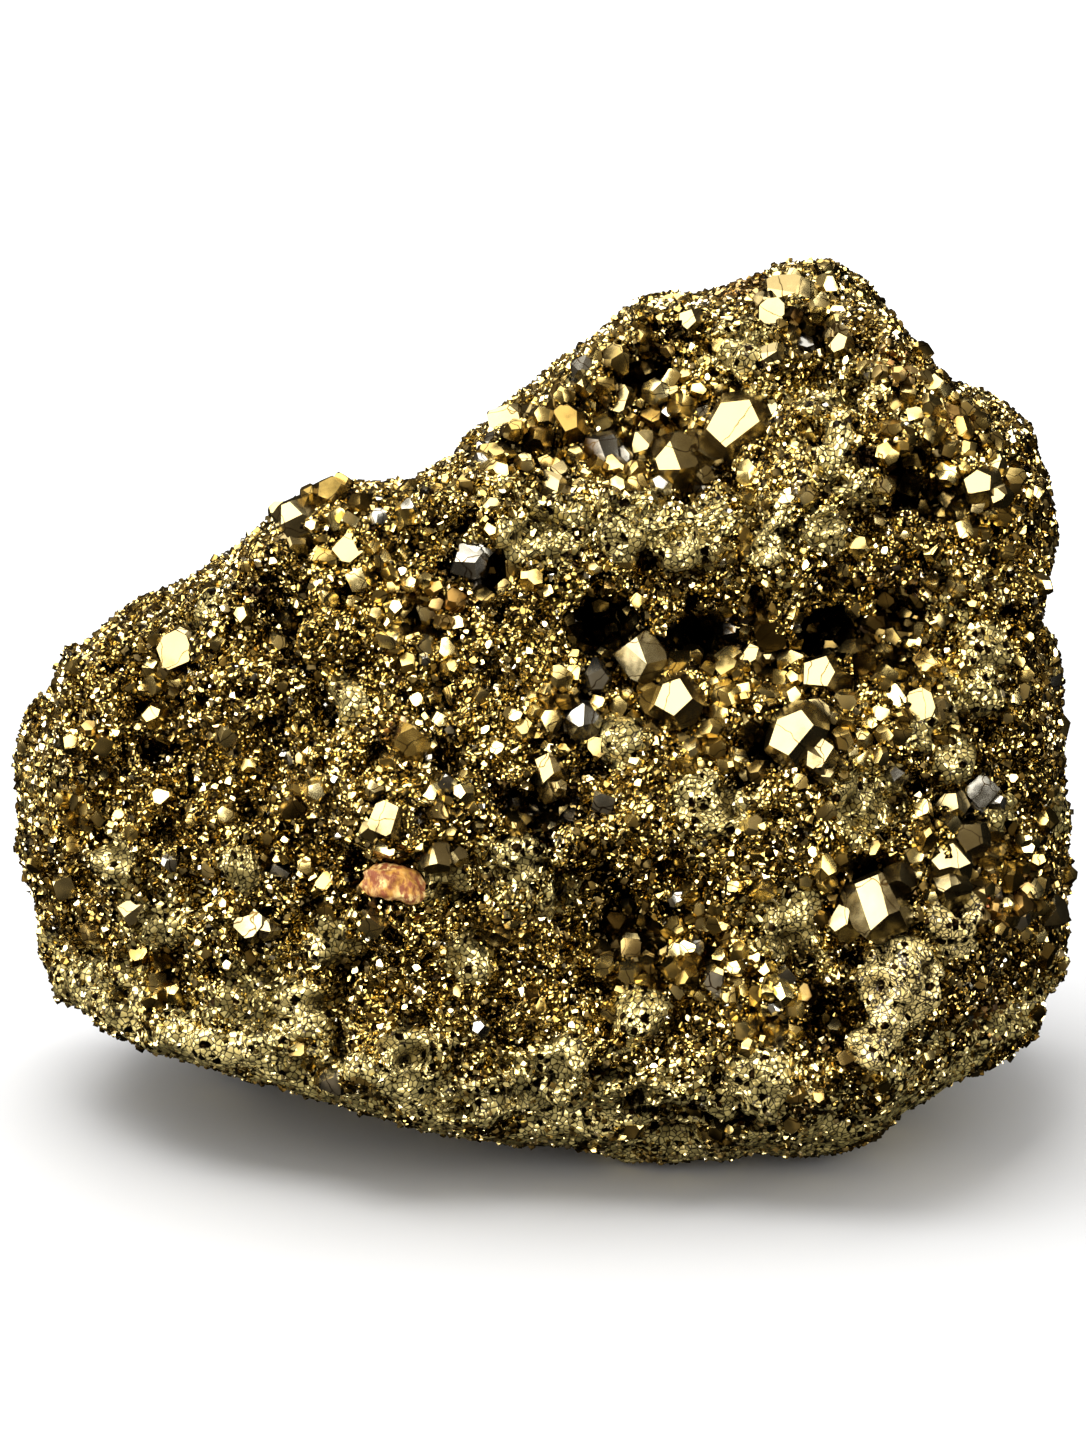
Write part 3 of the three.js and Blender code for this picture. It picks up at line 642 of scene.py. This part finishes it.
def joined_crystals(name, habit, middles, turns, sizes, outward, hidden, **finish):
    """One mesh of many crystals of a habit, each with its place, turn, three sizes and finish.

    A face that points back into the ground mass by more than the hidden cosine is left out.
    """
    corners, faces = habit
    count, each = len(middles), len(corners)
    spokes = np.einsum("nij,nkj->nki", turns, corners * sizes[:, None, :] / 2)
    places = spokes + middles[:, None, :]
    places[:, :, 2] = np.maximum(places[:, :, 2], 0)
    fronts = np.array([corners[face].mean(0) / np.linalg.norm(corners[face].mean(0)) for face in faces])
    shown = np.einsum("nij,fj,ni->nf", turns, fronts, outward) > hidden
    sides = np.array([len(face) for face in faces])
    loop_shown = np.repeat(shown, sides, axis=1)
    loops = (np.concatenate(faces) + each * np.arange(count)[:, None])[loop_shown]
    used = np.zeros(count * each, bool)
    used[loops] = True
    loops = (np.cumsum(used) - 1)[loops]
    sides = np.broadcast_to(sides, shown.shape)[shown]

    mesh = bpy.data.meshes.new(name)
    mesh.vertices.add(used.sum())
    mesh.loops.add(len(loops))
    mesh.polygons.add(len(sides))
    mesh.vertices.foreach_set("co", places.reshape(-1, 3)[used].ravel())
    mesh.loops.foreach_set("vertex_index", loops)
    mesh.polygons.foreach_set("loop_start", np.cumsum(sides) - sides)
    mesh.update(calc_edges=True)
    mesh.shade_flat()
    # Each grain's open value goes dark towards its root in the ground mass: tarnish, and painted shade where
    # it meets the mass
    above_tarnish_and_shade = rise(np.einsum("nki,ni->nk", spokes, outward) / sizes.mean(1)[:, None], *TARNISH_AND_SHADE_LINE)
    for kind, values in finish.items():
        values = values[:, None] * (above_tarnish_and_shade if kind == "open" else np.ones(each))
        store(mesh, kind, values.ravel()[used])
    out = spokes / np.linalg.norm(sizes, axis=1)[:, None, None] * 2 * math.sqrt(3)
    out = out.reshape(-1, 3)[used].astype(np.float32)
    mesh.attributes.new("out", "FLOAT_VECTOR", "POINT").data.foreach_set("vector", out.ravel())
    layout = flat_layout(faces, count)[loop_shown].astype(np.float32)
    mesh.uv_layers.new(name="OFBake").data.foreach_set("uv", layout.ravel())
    return mesh


def flat_layout(faces, count):
    """A flat layout of the faces, for a painted copy.

    Each crystal has a square of it, and each face a smaller one in that.
    """
    across = math.ceil(math.sqrt(count))
    within = math.ceil(math.sqrt(len(faces)))
    corners = []
    for k, face in enumerate(faces):
        angles = 2 * math.pi * np.arange(len(face)) / len(face)
        disc = 0.5 + LAYOUT_RADIUS * np.stack([np.cos(angles), np.sin(angles)], axis=1)
        corners.append((disc + (k % within, k // within)) / within)
    square = np.stack([np.arange(count) % across, np.arange(count) // across], axis=1)
    return (np.concatenate(corners) + square[:, None, :]) / across


CLOSED, SUNK = -1.5, -0.5  # hidden cosine of crystals that are whole, and of sunk ones
LAYOUT_RADIUS = 0.45
TARNISH_AND_SHADE_LINE = (-0.38, 0.05)  # of a crystal's size, from its middle out: black with tarnish and painted shade below, clean above

# Pyrite: an opaque, brittle metal-bright sulphide. Fresh faces mirror the light in pale brass, tarnished
# ones go bronze or steel grey, weathered grains are dull and greyish, and some are stained with rust.
CRACK_SPACING, CRACK_EDGES = 3.4 * MM, (0.004, 0.016)
CRACK_BEND_WAVE, CRACK_BEND = 2 * MM, 1.5 * MM
FACE_WAVE, FACE_WAVINESS = 1.4 * MM, 0.35
DULL_ROUGHER, RUST_ROUGHER = 0.2, 0.3


def pyrite(name, stops, roughness, rounding, cracked):
    material, tree, shader = new_material(name)
    tone, dull, rust, hollow_shade_openness = (
        add_node(tree, "ShaderNodeAttribute", {}, attribute_name=kind).outputs["Fac"]
        for kind in ("tone", "dull", "rust", "open")
    )
    ramp = add_node(tree, "ShaderNodeValToRGB", {"Fac": tone})
    for _ in stops[2:]:
        ramp.color_ramp.elements.new(0.5)
    for element, (place, code) in zip(ramp.color_ramp.elements, stops):
        element.position = place
        element.color = hex_colour(code)
    faded = {0: dull, MIX_A: ramp.outputs["Color"], MIX_B: hex_colour("#a4976c")}
    faded = add_node(tree, "ShaderNodeMix", faded, data_type="RGBA").outputs[MIXED]
    stained = {0: rust, MIX_A: faded, MIX_B: hex_colour("#6b3a14")}
    stained = add_node(tree, "ShaderNodeMix", stained, data_type="RGBA").outputs[MIXED]
    # Painted shade: grains deep in hollows are painted near-black by their openness, and each grain's root
    # end darker, partly tarnish and partly painted shade
    painted_hole_shade = {0: hollow_shade_openness, MIX_A: hex_colour("#2a1b08"), MIX_B: stained}
    shaded = add_node(tree, "ShaderNodeMix", painted_hole_shade, data_type="RGBA").outputs[MIXED]
    if cracked:
        place = add_node(tree, "ShaderNodeTexCoord", {}).outputs["Object"]
        bent = add_node(tree, "ShaderNodeTexNoise", {"Vector": place, "Scale": 1 / CRACK_BEND_WAVE})
        bent = {0: bent.outputs["Color"], 1: [CRACK_BEND] * 3, 2: place}
        bent = add_node(tree, "ShaderNodeVectorMath", bent, operation="MULTIPLY_ADD").outputs[0]
        edge = {"Vector": bent, "Scale": 1 / CRACK_SPACING}
        edge = add_node(tree, "ShaderNodeTexVoronoi", edge, feature="DISTANCE_TO_EDGE").outputs["Distance"]
        sound = {"Value": edge, "From Min": CRACK_EDGES[0], "From Max": CRACK_EDGES[1]}
        sound = add_node(tree, "ShaderNodeMapRange", sound).outputs["Result"]
        split = {0: sound, MIX_A: hex_colour("#3a2a10"), MIX_B: shaded}
        shaded = add_node(tree, "ShaderNodeMix", split, data_type="RGBA").outputs[MIXED]
    tree.links.new(shaded, shader.inputs["Base Color"])
    worn = {0: dull, 1: DULL_ROUGHER, 2: roughness}
    worn = add_node(tree, "ShaderNodeMath", worn, operation="MULTIPLY_ADD").outputs[0]
    worn = {0: rust, 1: RUST_ROUGHER, 2: worn}
    worn = add_node(tree, "ShaderNodeMath", worn, operation="MULTIPLY_ADD").outputs[0]
    tree.links.new(worn, shader.inputs["Roughness"])
    shader.inputs["Metallic"].default_value = 1.0
    out = add_node(tree, "ShaderNodeAttribute", {}, attribute_name="out").outputs["Vector"]
    flat = add_node(tree, "ShaderNodeNewGeometry", {}).outputs["Normal"]
    if cracked:
        wavy = {"Vector": place, "Scale": 1 / FACE_WAVE, "Detail": 3.0}
        wavy = add_node(tree, "ShaderNodeTexNoise", wavy).outputs["Color"]
        wavy = {0: wavy, 1: (0.5, 0.5, 0.5)}
        wavy = add_node(tree, "ShaderNodeVectorMath", wavy, operation="SUBTRACT").outputs[0]
        wavy = {0: wavy, 1: [FACE_WAVINESS] * 3, 2: flat}
        flat = add_node(tree, "ShaderNodeVectorMath", wavy, operation="MULTIPLY_ADD").outputs[0]
    normal = {0: out, 1: [rounding] * 3, 2: flat}
    normal = add_node(tree, "ShaderNodeVectorMath", normal, operation="MULTIPLY_ADD").outputs[0]
    normal = add_node(tree, "ShaderNodeVectorMath", {0: normal}, operation="NORMALIZE").outputs[0]
    tree.links.new(normal, shader.inputs["Normal"])
    return material


def large_crystals():
    """Middle, facing, root, size and tone of each larger crystal, and of the smaller ones grown on it."""
    lit = (KEY_FROM + to_eye).normalized()
    made = []
    for u, v, size, bright in LARGE_CRYSTALS:
        size *= CRYSTAL_SCALE
        place, normal = front_place(ground_tree, u, v)
        tilt = Vector(rng.normal(size=3)) * CRYSTAL_TILT * (1 if bright else TURNED_AWAY)
        towards = (lit + tilt).normalized()
        middle = place - normal * size * MM * CRYSTAL_ROOTED
        tone = rng.uniform(*BRIGHT_TONES) if bright else rng.choice(OTHER_TONES)
        made.append((middle, towards, normal, size * MM, tone))
        for _ in range(rng.integers(0, GROWN_ON_MOST + 1)):
            aside = np.cross(towards, rng.normal(size=3))
            aside *= GROWN_ON_ASIDE * size * MM / np.linalg.norm(aside)
            leaning = (towards + Vector(rng.normal(size=3)) * GROWN_ON_TILT).normalized()
            made.append((middle + aside, leaning, normal, size * MM * rng.uniform(*GROWN_ON_SIZE), tone))
    return made


# Each habit with the normal of a face that is turned to the light.
LARGE_HABITS = 2 * [
    ([(PYRITOHEDRON, 1.0)], (0, 1, 2)),
    ([(CUBE, 1.0), (OCTAHEDRON, 1.5)], (0, 1, 0)),
    ([(PYRITOHEDRON, 1.0), (CUBE, 1.02), (OCTAHEDRON, 1.06)], (0, 1, 2)),
    ([(CUBE, 1.0), (PYRITOHEDRON, 1.1)], (0, 1, 0)),
]
CRYSTAL_TONES = [(0.0, "#4d3c1c"), (0.5, "#7d6836"), (0.85, "#7d7150"), (1.0, "#7d7b74")]
crystal_faces = pyrite("pyrite crystal faces", CRYSTAL_TONES, roughness=0.24, rounding=0.1, cracked=True)
placed = large_crystals()
for kind, (forms, face) in enumerate(LARGE_HABITS):
    crystal_middles, facings, roots, widths, tones = zip(*placed[kind::len(LARGE_HABITS)])
    nothing = np.zeros(len(widths))
    mesh = joined_crystals(
        f"pyrite_crystals_{kind + 1}", crystal_habit(*forms),
        np.array(crystal_middles),
        np.array([facing_turn(face, towards) for towards in facings]),
        np.array(widths)[:, None] * rng.uniform(*CRYSTAL_UNEVEN, (len(widths), 3)),
        np.array(roots), CLOSED,
        tone=np.array(tones), dull=nothing, rust=nothing, open=nothing + 1,
    )
    show(mesh.name, mesh, crystal_faces)

# Grains
# The druse over the whole stone: tens of thousands of pyrite grains of 0.4 to 2.6 mm, each a small
# crystal half sunk in the ground mass, crowded against its neighbours. Coarse ones line the hollows.

CANDIDATES = 420_000
FINE_SIZE = (0.45 * MM, 1.1 * MM)
FINE_RARITY = 5  # how seldom a fine grain is large
COARSE_SIZE = (1.2 * MM, 2.6 * MM)
COARSE_RARITY = 2
CRUST_SIZE = (0.4 * MM, 0.75 * MM)
CUBE_MOST = 0.72 * MM  # larger fine grains have blunt corners
GRAIN_UNEVEN = (0.85, 1.25)
COARSE_SHARE = 0.3  # of the places in a coarse patch
COARSE_EDGE = (0.2, 0.7)
STRAY_COARSE_SHARE, STRAY_FACING = 0.006, 0.35
COARSE_CRUST = 0.6  # the most weathered place for them
VUG_RIM = 1.2  # how wide a vug's rim is coarse, in millimetres
FINE_CLOSENESS = 0.8  # of two grains' mean size, the least between their middles
COARSE_CLOSENESS = 0.6
FINE_LIFT = (-0.3, 0.02)  # of its size, from the surface out to its middle
COARSE_LIFT = (-0.22, 0.04)
CRUST_GRAIN_SHARE = 0.12  # of the places on the crust
WEATHERED_RATE = 1.2
FLOOR_GAP = 0.3 * MM
CRYSTAL_ROOM, GRAIN_ROOM = 0.45, 0.25  # of their sizes, between a larger crystal and a grain
KNOB_BARE, FELDSPAR_BARE = 0.45, 0.78
RUST_SHARE, COARSE_RUST = 0.7, 0.6
RUST_WAVE, RUST_EDGE, RUST_BEHIND = 9 * MM, (0.45, 0.6), 0.5
TONE_SPREAD, TONE_MOST, STEEL_SHARE = (2.2, 2.0), 0.9, 0.045
WEATHERED_DULL, FRESH_DULL = (0.2, 0.7), (0, 0.25)
# How the painted shade of hollows follows a grain's openness, and the least openness kept for coarse grains
GRAIN_OPEN = (0.1, 0.6)
COARSE_LEAST_OPEN = 0.25

# Patches of the front with coarse crystals: u, v and reach.
COARSE_PATCHES = [
    (2.7, 66, 4), (7.8, 65, 4), (12, 63.4, 4), (1, 61.7, 4), (6.1, 60.4, 4), (-4, 62.6, 3), (4.4, 39.6, 4),
    (9.5, 40.5, 4), (16.3, 43, 4), (22.3, 41.3, 4), (23.1, 36.2, 4), (1, 37.9, 3), (12.9, 36.2, 3),
    (27.4, 44.7, 3), (32.5, 39.6, 4), (34.2, 26, 4), (38.4, 24.3, 4), (41.8, 20.9, 3), (28.2, 22.6, 4),
    (12.9, 17.5, 4), (7.8, 17.5, 3), (18.9, 13.3, 3), (33.3, 60.9, 4), (37.6, 58.3, 4), (32.5, 65.1, 3),
    (-20.2, 56.6, 3), (-17.7, 54, 3),
]
# Rusty spots of the front: u, v and reach.
RUST_SPOTS = [
    (30.3, 68.5, 2.5), (34.6, 63.7, 1.4), (7.8, 19.6, 2.5), (37.6, 22.6, 2.5), (40.5, 23.5, 2), (-9.2, 48, 2),
    (-14.7, 22.6, 1.8), (21.4, 4.8, 2), (30, 48.6, 2.2), (38, 12, 3), (-13, 37.5, 1.6), (2, 53, 1.5),
]


def scattered_places(mesh, count):
    """Random places spread evenly over a mesh, and the normals there."""
    mesh.calc_loop_triangles()
    corners = np.empty(len(mesh.loop_triangles) * 3, np.int32)
    mesh.loop_triangles.foreach_get("vertices", corners)
    corners = corners.reshape(-1, 3)
    places, normals = mesh_array(mesh, "co")[corners], mesh_array(mesh, "normal")[corners]
    area = np.linalg.norm(np.cross(places[:, 1] - places[:, 0], places[:, 2] - places[:, 0]), axis=1)
    chosen = rng.choice(len(area), count, p=area / area.sum())
    share = rng.dirichlet((1, 1, 1), count)
    normals = np.einsum("nk,nkj->nj", share, normals[chosen])
    return (
        np.einsum("nk,nkj->nj", share, places[chosen]),
        normals / np.linalg.norm(normals, axis=1)[:, None],
    )


def crowded(places, room, free):
    """Which grains fit when each keeps its own room, the largest taking their places first."""
    tree = KDTree(len(places))
    for i, place in enumerate(places):
        tree.insert(place, i)
    tree.balance()
    kept = []
    for i in np.argsort(-room):
        if free[i]:
            kept.append(i)
            for _, k, away in tree.find_range(places[i], room[i]):
                if away < (room[i] + room[k]) / 2:
                    free[k] = False
    return np.array(kept)


places, normals = scattered_places(ground_mass.data, CANDIDATES)
crust = crust_at(places)
vug_rims = [(u, v, half_width + VUG_RIM) for u, v, half_width, _ in VUGS]
coarse_share = COARSE_SHARE * rise(near_patches(places, COARSE_PATCHES + vug_rims), *COARSE_EDGE)
coarse_share += STRAY_COARSE_SHARE * (normals @ np.array(to_eye) > STRAY_FACING)
chance = rng.random(CANDIDATES)
coarse = (chance < coarse_share) & (crust < COARSE_CRUST)
weathered = (rng.random(CANDIDATES) < crust * WEATHERED_RATE) & ~coarse
sizes = FINE_SIZE[0] + (FINE_SIZE[1] - FINE_SIZE[0]) * rng.random(CANDIDATES) ** FINE_RARITY
sizes[coarse] = COARSE_SIZE[0] + (COARSE_SIZE[1] - COARSE_SIZE[0]) * rng.random(coarse.sum()) ** COARSE_RARITY
sizes[weathered] = rng.uniform(*CRUST_SIZE, weathered.sum())

free = places[:, 2] > FLOOR_GAP + sizes / 2
for middle, _, _, size, _ in placed:
    free &= np.linalg.norm(places - middle, axis=1) > CRYSTAL_ROOM * size + GRAIN_ROOM * sizes
free &= ~weathered | (rng.random(CANDIDATES) < CRUST_GRAIN_SHARE)
free &= near_patches(places, KNOBS) < KNOB_BARE
low, high = (np.array(corner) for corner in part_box("feldspar_grain"))
free &= np.linalg.norm((places - (low + high) / 2) / (high - low) * 2, axis=1) > FELDSPAR_BARE
kept = crowded(places, sizes * np.where(coarse, COARSE_CLOSENESS, FINE_CLOSENESS), free)
places, normals, sizes, coarse, weathered = (
    values[kept] for values in (places, normals, sizes, coarse, weathered)
)

count = len(kept)
rusty = near_patches(places, RUST_SPOTS) * (rng.random(count) < RUST_SHARE) * np.where(coarse, COARSE_RUST, 1)
rust_behind = RUST_BEHIND * rise(noise_at(places, RUST_WAVE, 8.1), *RUST_EDGE) * (places[:, 1] > 0)
rusty = np.maximum(rusty, rust_behind)
tone = rng.beta(*TONE_SPREAD, count) * TONE_MOST
tone[rng.random(count) < STEEL_SHARE] = 1.0
dull = np.where(weathered, rng.uniform(*WEATHERED_DULL, count), rng.uniform(*FRESH_DULL, count))
lift = np.where(coarse, rng.uniform(*COARSE_LIFT, count), rng.uniform(*FINE_LIFT, count))
middles = places + normals * (sizes * lift)[:, None]
# Each grain's openness, stored as open, paints it near-black in hollows as painted shade
painted_shade_openness = rise(openness(places, normals), *GRAIN_OPEN)
painted_shade_openness[coarse] = COARSE_LEAST_OPEN + (1 - COARSE_LEAST_OPEN) * painted_shade_openness[coarse]
turns = random_turns(count)
shapes = sizes[:, None] * rng.uniform(*GRAIN_UNEVEN, (count, 3))

FINE_TONES = [(0.0, "#745a26"), (0.3, "#b0954e"), (0.65, "#d0bf8a"), (0.85, "#e2d5ac"), (1.0, "#a8a69c")]
COARSE_TONES = [(0.0, "#6a5224"), (0.4, "#a89050"), (0.7, "#c4b074"), (0.9, "#d4c592"), (1.0, "#98968e")]
grain_faces = pyrite("pyrite grains", FINE_TONES, roughness=0.08, rounding=0.28, cracked=False)
coarse_faces = pyrite("coarse pyrite grains", COARSE_TONES, roughness=0.18, rounding=0.22, cracked=True)

BLUNT_CUBES = [[(CUBE, 1.0), (OCTAHEDRON[k::3], 1.2)] for k in range(3)]
COARSE_HABITS = [[(PYRITOHEDRON, 1.0)], [(CUBE, 1.0), (OCTAHEDRON, 1.5)], [(OCTAHEDRON, 1.0), (CUBE, 1.3)]]
small = sizes <= CUBE_MOST
GRAIN_KINDS = {
    "pyrite_coarse_grains": (2 * COARSE_HABITS, coarse, coarse_faces, CLOSED),
    "pyrite_fine_grains": (BLUNT_CUBES, ~coarse & ~weathered & ~small, grain_faces, SUNK),
    "pyrite_fine_cubes": (4 * [[(CUBE, 1.0)]], ~coarse & ~weathered & small, grain_faces, SUNK),
    "pyrite_crust_grains": ([[(CUBE, 1.0)]], weathered, grain_faces, SUNK),
}
for name, (habits, chosen, faces, hidden) in GRAIN_KINDS.items():
    for k, forms in enumerate(habits):
        part = np.flatnonzero(chosen)[k::len(habits)]
        mesh = joined_crystals(
            f"{name}_{k + 1}", crystal_habit(*forms), middles[part], turns[part], shapes[part], normals[part],
            hidden, tone=tone[part], dull=dull[part], rust=rusty[part], open=painted_shade_openness[part],
        )
        show(mesh.name, mesh, faces)

# Feldspar grain
# One long worn grain of orange feldspar lodged in the front, dull among the bright pyrite, with
# rust-red streaks across it. It is the solid's own form, with its facets worn round and pitted.

FELDSPAR_VOXEL = 0.13 * MM
FELDSPAR_LUMPS = [(1.4 * MM, 0.32 * MM), (0.5 * MM, 0.12 * MM)]

# Feldspar: a hard glassy mineral, worn matt here, cream to ochre in patches with streaks of iron stain.
STREAK_WIDTH, STREAK_RANGE, STREAK_STRETCH = 0.55 * MM, (0.43, 0.59), (1.0, 1.0, 0.45)
PALE_WIDTH, PALE_RANGE = 1.6 * MM, (0.45, 0.65)
STREAK_RELIEF = 0.3 * MM


def feldspar():
    material, tree, shader = new_material("feldspar")
    place = add_node(tree, "ShaderNodeTexCoord", {}).outputs["Object"]
    stretched = add_node(tree, "ShaderNodeVectorMath", {0: place, 1: STREAK_STRETCH}, operation="MULTIPLY")
    streaks = {"Vector": stretched.outputs[0], "Scale": 1 / STREAK_WIDTH, "Detail": 5.0, "Roughness": 0.65}
    streaks = add_node(tree, "ShaderNodeTexNoise", streaks).outputs["Fac"]
    patchy = {"Value": streaks, "From Min": STREAK_RANGE[0], "From Max": STREAK_RANGE[1]}
    patchy = add_node(tree, "ShaderNodeMapRange", patchy)
    pale = add_node(tree, "ShaderNodeTexNoise", {"Vector": place, "Scale": 1 / PALE_WIDTH, "Detail": 3.0})
    pale = {"Value": pale.outputs["Fac"], "From Min": PALE_RANGE[0], "From Max": PALE_RANGE[1]}
    pale = add_node(tree, "ShaderNodeMapRange", pale).outputs["Result"]
    clean = {0: pale, MIX_A: hex_colour("#966a26"), MIX_B: hex_colour("#cab274")}
    clean = add_node(tree, "ShaderNodeMix", clean, data_type="RGBA").outputs[MIXED]
    colours = {0: patchy.outputs["Result"], MIX_A: hex_colour("#673212"), MIX_B: clean}
    colour = add_node(tree, "ShaderNodeMix", colours, data_type="RGBA")
    tree.links.new(colour.outputs[MIXED], shader.inputs["Base Color"])
    shader.inputs["Roughness"].default_value = 0.65
    shader.inputs["Specular IOR Level"].default_value = 0.3
    bump = add_node(tree, "ShaderNodeBump", {"Height": streaks, "Strength": 0.7, "Distance": STREAK_RELIEF})
    tree.links.new(bump.outputs["Normal"], shader.inputs["Normal"])
    return material


grain_mesh = evenly_meshed(frame["nodes"]["feldspar_grain"].data, FELDSPAR_VOXEL)
worn = mesh_array(grain_mesh, "co")
for wave, tall in FELDSPAR_LUMPS:
    worn += mesh_array(grain_mesh, "normal") * (tall * noise_at(worn, wave))[:, None]
grain_mesh.vertices.foreach_set("co", worn.ravel())
grain_mesh.shade_smooth()
grain = show("feldspar_worn_grain", grain_mesh, feldspar())
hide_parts("feldspar_grain")

# Stage
# A floor of white paper, four softboxes, of which only the overhead one lights the floor too, a room
# that is white to the floor and a dim warm glow in the stone's faces, and the camera a little above.

FLOOR_SIZE = 6.0
PAPER_NEAR, PAPER_FAR = 90 * MM, 420 * MM
floor_mesh = bpy.data.meshes.new("floor")
half = FLOOR_SIZE / 2
floor_corners = [(-half, -half, 0), (half, -half, 0), (half, half, 0), (-half, half, 0)]
floor_mesh.from_pydata(floor_corners, [], [(0, 1, 2, 3)])
paper, paper_tree, paper_shader = new_material("white paper")
away = add_node(paper_tree, "ShaderNodeTexCoord", {}).outputs["Object"]
away = add_node(paper_tree, "ShaderNodeVectorMath", {0: away}, operation="LENGTH").outputs["Value"]
away = {"Value": away, "From Min": PAPER_NEAR, "From Max": PAPER_FAR}
away = add_node(paper_tree, "ShaderNodeMapRange", away).outputs["Result"]
away = {0: away, MIX_A: hex_colour("#d8d8d8"), MIX_B: hex_colour("#fcfcfc")}
away = add_node(paper_tree, "ShaderNodeMix", away, data_type="RGBA").outputs[MIXED]
paper_tree.links.new(away, paper_shader.inputs["Base Color"])
paper_shader.inputs["Roughness"].default_value = 0.9
floor = bpy.data.objects.new("floor", floor_mesh)
floor.visible_glossy = False
floor_mesh.materials.append(paper)
bpy.context.scene.collection.objects.link(floor)

# Softboxes: where from, how far, width, height, brightness and whether it is kept off the floor.
stone_only = bpy.data.collections.new("stone")
for piece in bpy.data.objects:
    if piece.type == "MESH" and piece != floor:
        stone_only.objects.link(piece)
SOFTBOX_WATTS = 4  # for a square metre at a brightness of 1
SOFTBOXES = {
    "key": (KEY_FROM, 0.7, 0.58, 0.58, 8.6, True),
    "right": (Vector((0.82, -0.5, 0.35)), 0.8, 0.45, 0.55, 7.6, True),
    "overhead": (Vector((-0.2, 0.1, 1)), 0.75, 0.8, 0.6, 3.6, False),
    "left": (Vector((-0.9, -0.3, 0.3)), 0.7, 0.3, 0.5, 4.6, True),
}
for name, (side, distance, width, height, brightness, flagged) in SOFTBOXES.items():
    lamp = bpy.data.lights.new(name, "AREA")
    lamp.shape = "RECTANGLE"
    lamp.size, lamp.size_y = width, height
    lamp.energy = SOFTBOX_WATTS * width * height * brightness
    stand = bpy.data.objects.new(name, lamp)
    stand.location = VIEW_CENTRE + side.normalized() * distance
    stand.rotation_euler = side.to_track_quat("Z", "Y").to_euler()
    if flagged:
        stand.light_linking.receiver_collection = stone_only
    bpy.context.scene.collection.objects.link(stand)

GLOW_FROM, GLOW_RANGE = (-0.45, -0.55, 0.7), (-0.4, 0.9)
GLOW_DARK, GLOW_BRIGHT = (0.01, 0.008, 0.005, 1.0), (0.335, 0.27, 0.178, 1.0)
world = bpy.data.worlds.new("studio")
world.use_nodes = True
bpy.context.scene.world = world
sky = world.node_tree
path = add_node(sky, "ShaderNodeLightPath", {}).outputs["Is Glossy Ray"]
way = add_node(sky, "ShaderNodeTexCoord", {}).outputs["Generated"]
lit_side = {0: way, 1: GLOW_FROM}
lit_side = add_node(sky, "ShaderNodeVectorMath", lit_side, operation="DOT_PRODUCT").outputs["Value"]
glow = {"Value": lit_side, "From Min": GLOW_RANGE[0], "From Max": GLOW_RANGE[1]}
glow = add_node(sky, "ShaderNodeMapRange", glow).outputs["Result"]
glow = {0: glow, MIX_A: GLOW_DARK, MIX_B: GLOW_BRIGHT}
glow = add_node(sky, "ShaderNodeMix", glow, data_type="RGBA").outputs[MIXED]
cards = add_node(sky, "ShaderNodeTexNoise", {"Vector": way, "Scale": 2.5, "Detail": 2.0}).outputs["Fac"]
cards = {"Value": cards, "From Min": 0.38, "From Max": 0.62, "To Min": 0.2, "To Max": 2.0}
cards = add_node(sky, "ShaderNodeMapRange", cards).outputs["Result"]
glow = add_node(sky, "ShaderNodeVectorMath", {0: glow, 1: cards}, operation="MULTIPLY").outputs[0]
room = {0: path, MIX_A: (1.0, 1.0, 1.0, 1.0), MIX_B: glow}
room = add_node(sky, "ShaderNodeMix", room, data_type="RGBA").outputs[MIXED]
sky.links.new(room, sky.nodes["Background"].inputs["Color"])

PICTURE_HEIGHT = 1448
PIXEL = 0.085 * MM
SENSOR = 36
camera = bpy.data.objects.new("camera", bpy.data.cameras.new("camera"))
camera.location = eye
camera.rotation_euler = to_eye.to_track_quat("Z", "Y").to_euler()
camera.data.sensor_width = SENSOR
camera.data.lens = SENSOR * VIEW_DISTANCE / (PICTURE_HEIGHT * PIXEL)
camera.data.clip_start = 0.01
bpy.context.scene.collection.objects.link(camera)
bpy.context.scene.camera = camera
bpy.context.scene.view_settings.view_transform = "Standard"
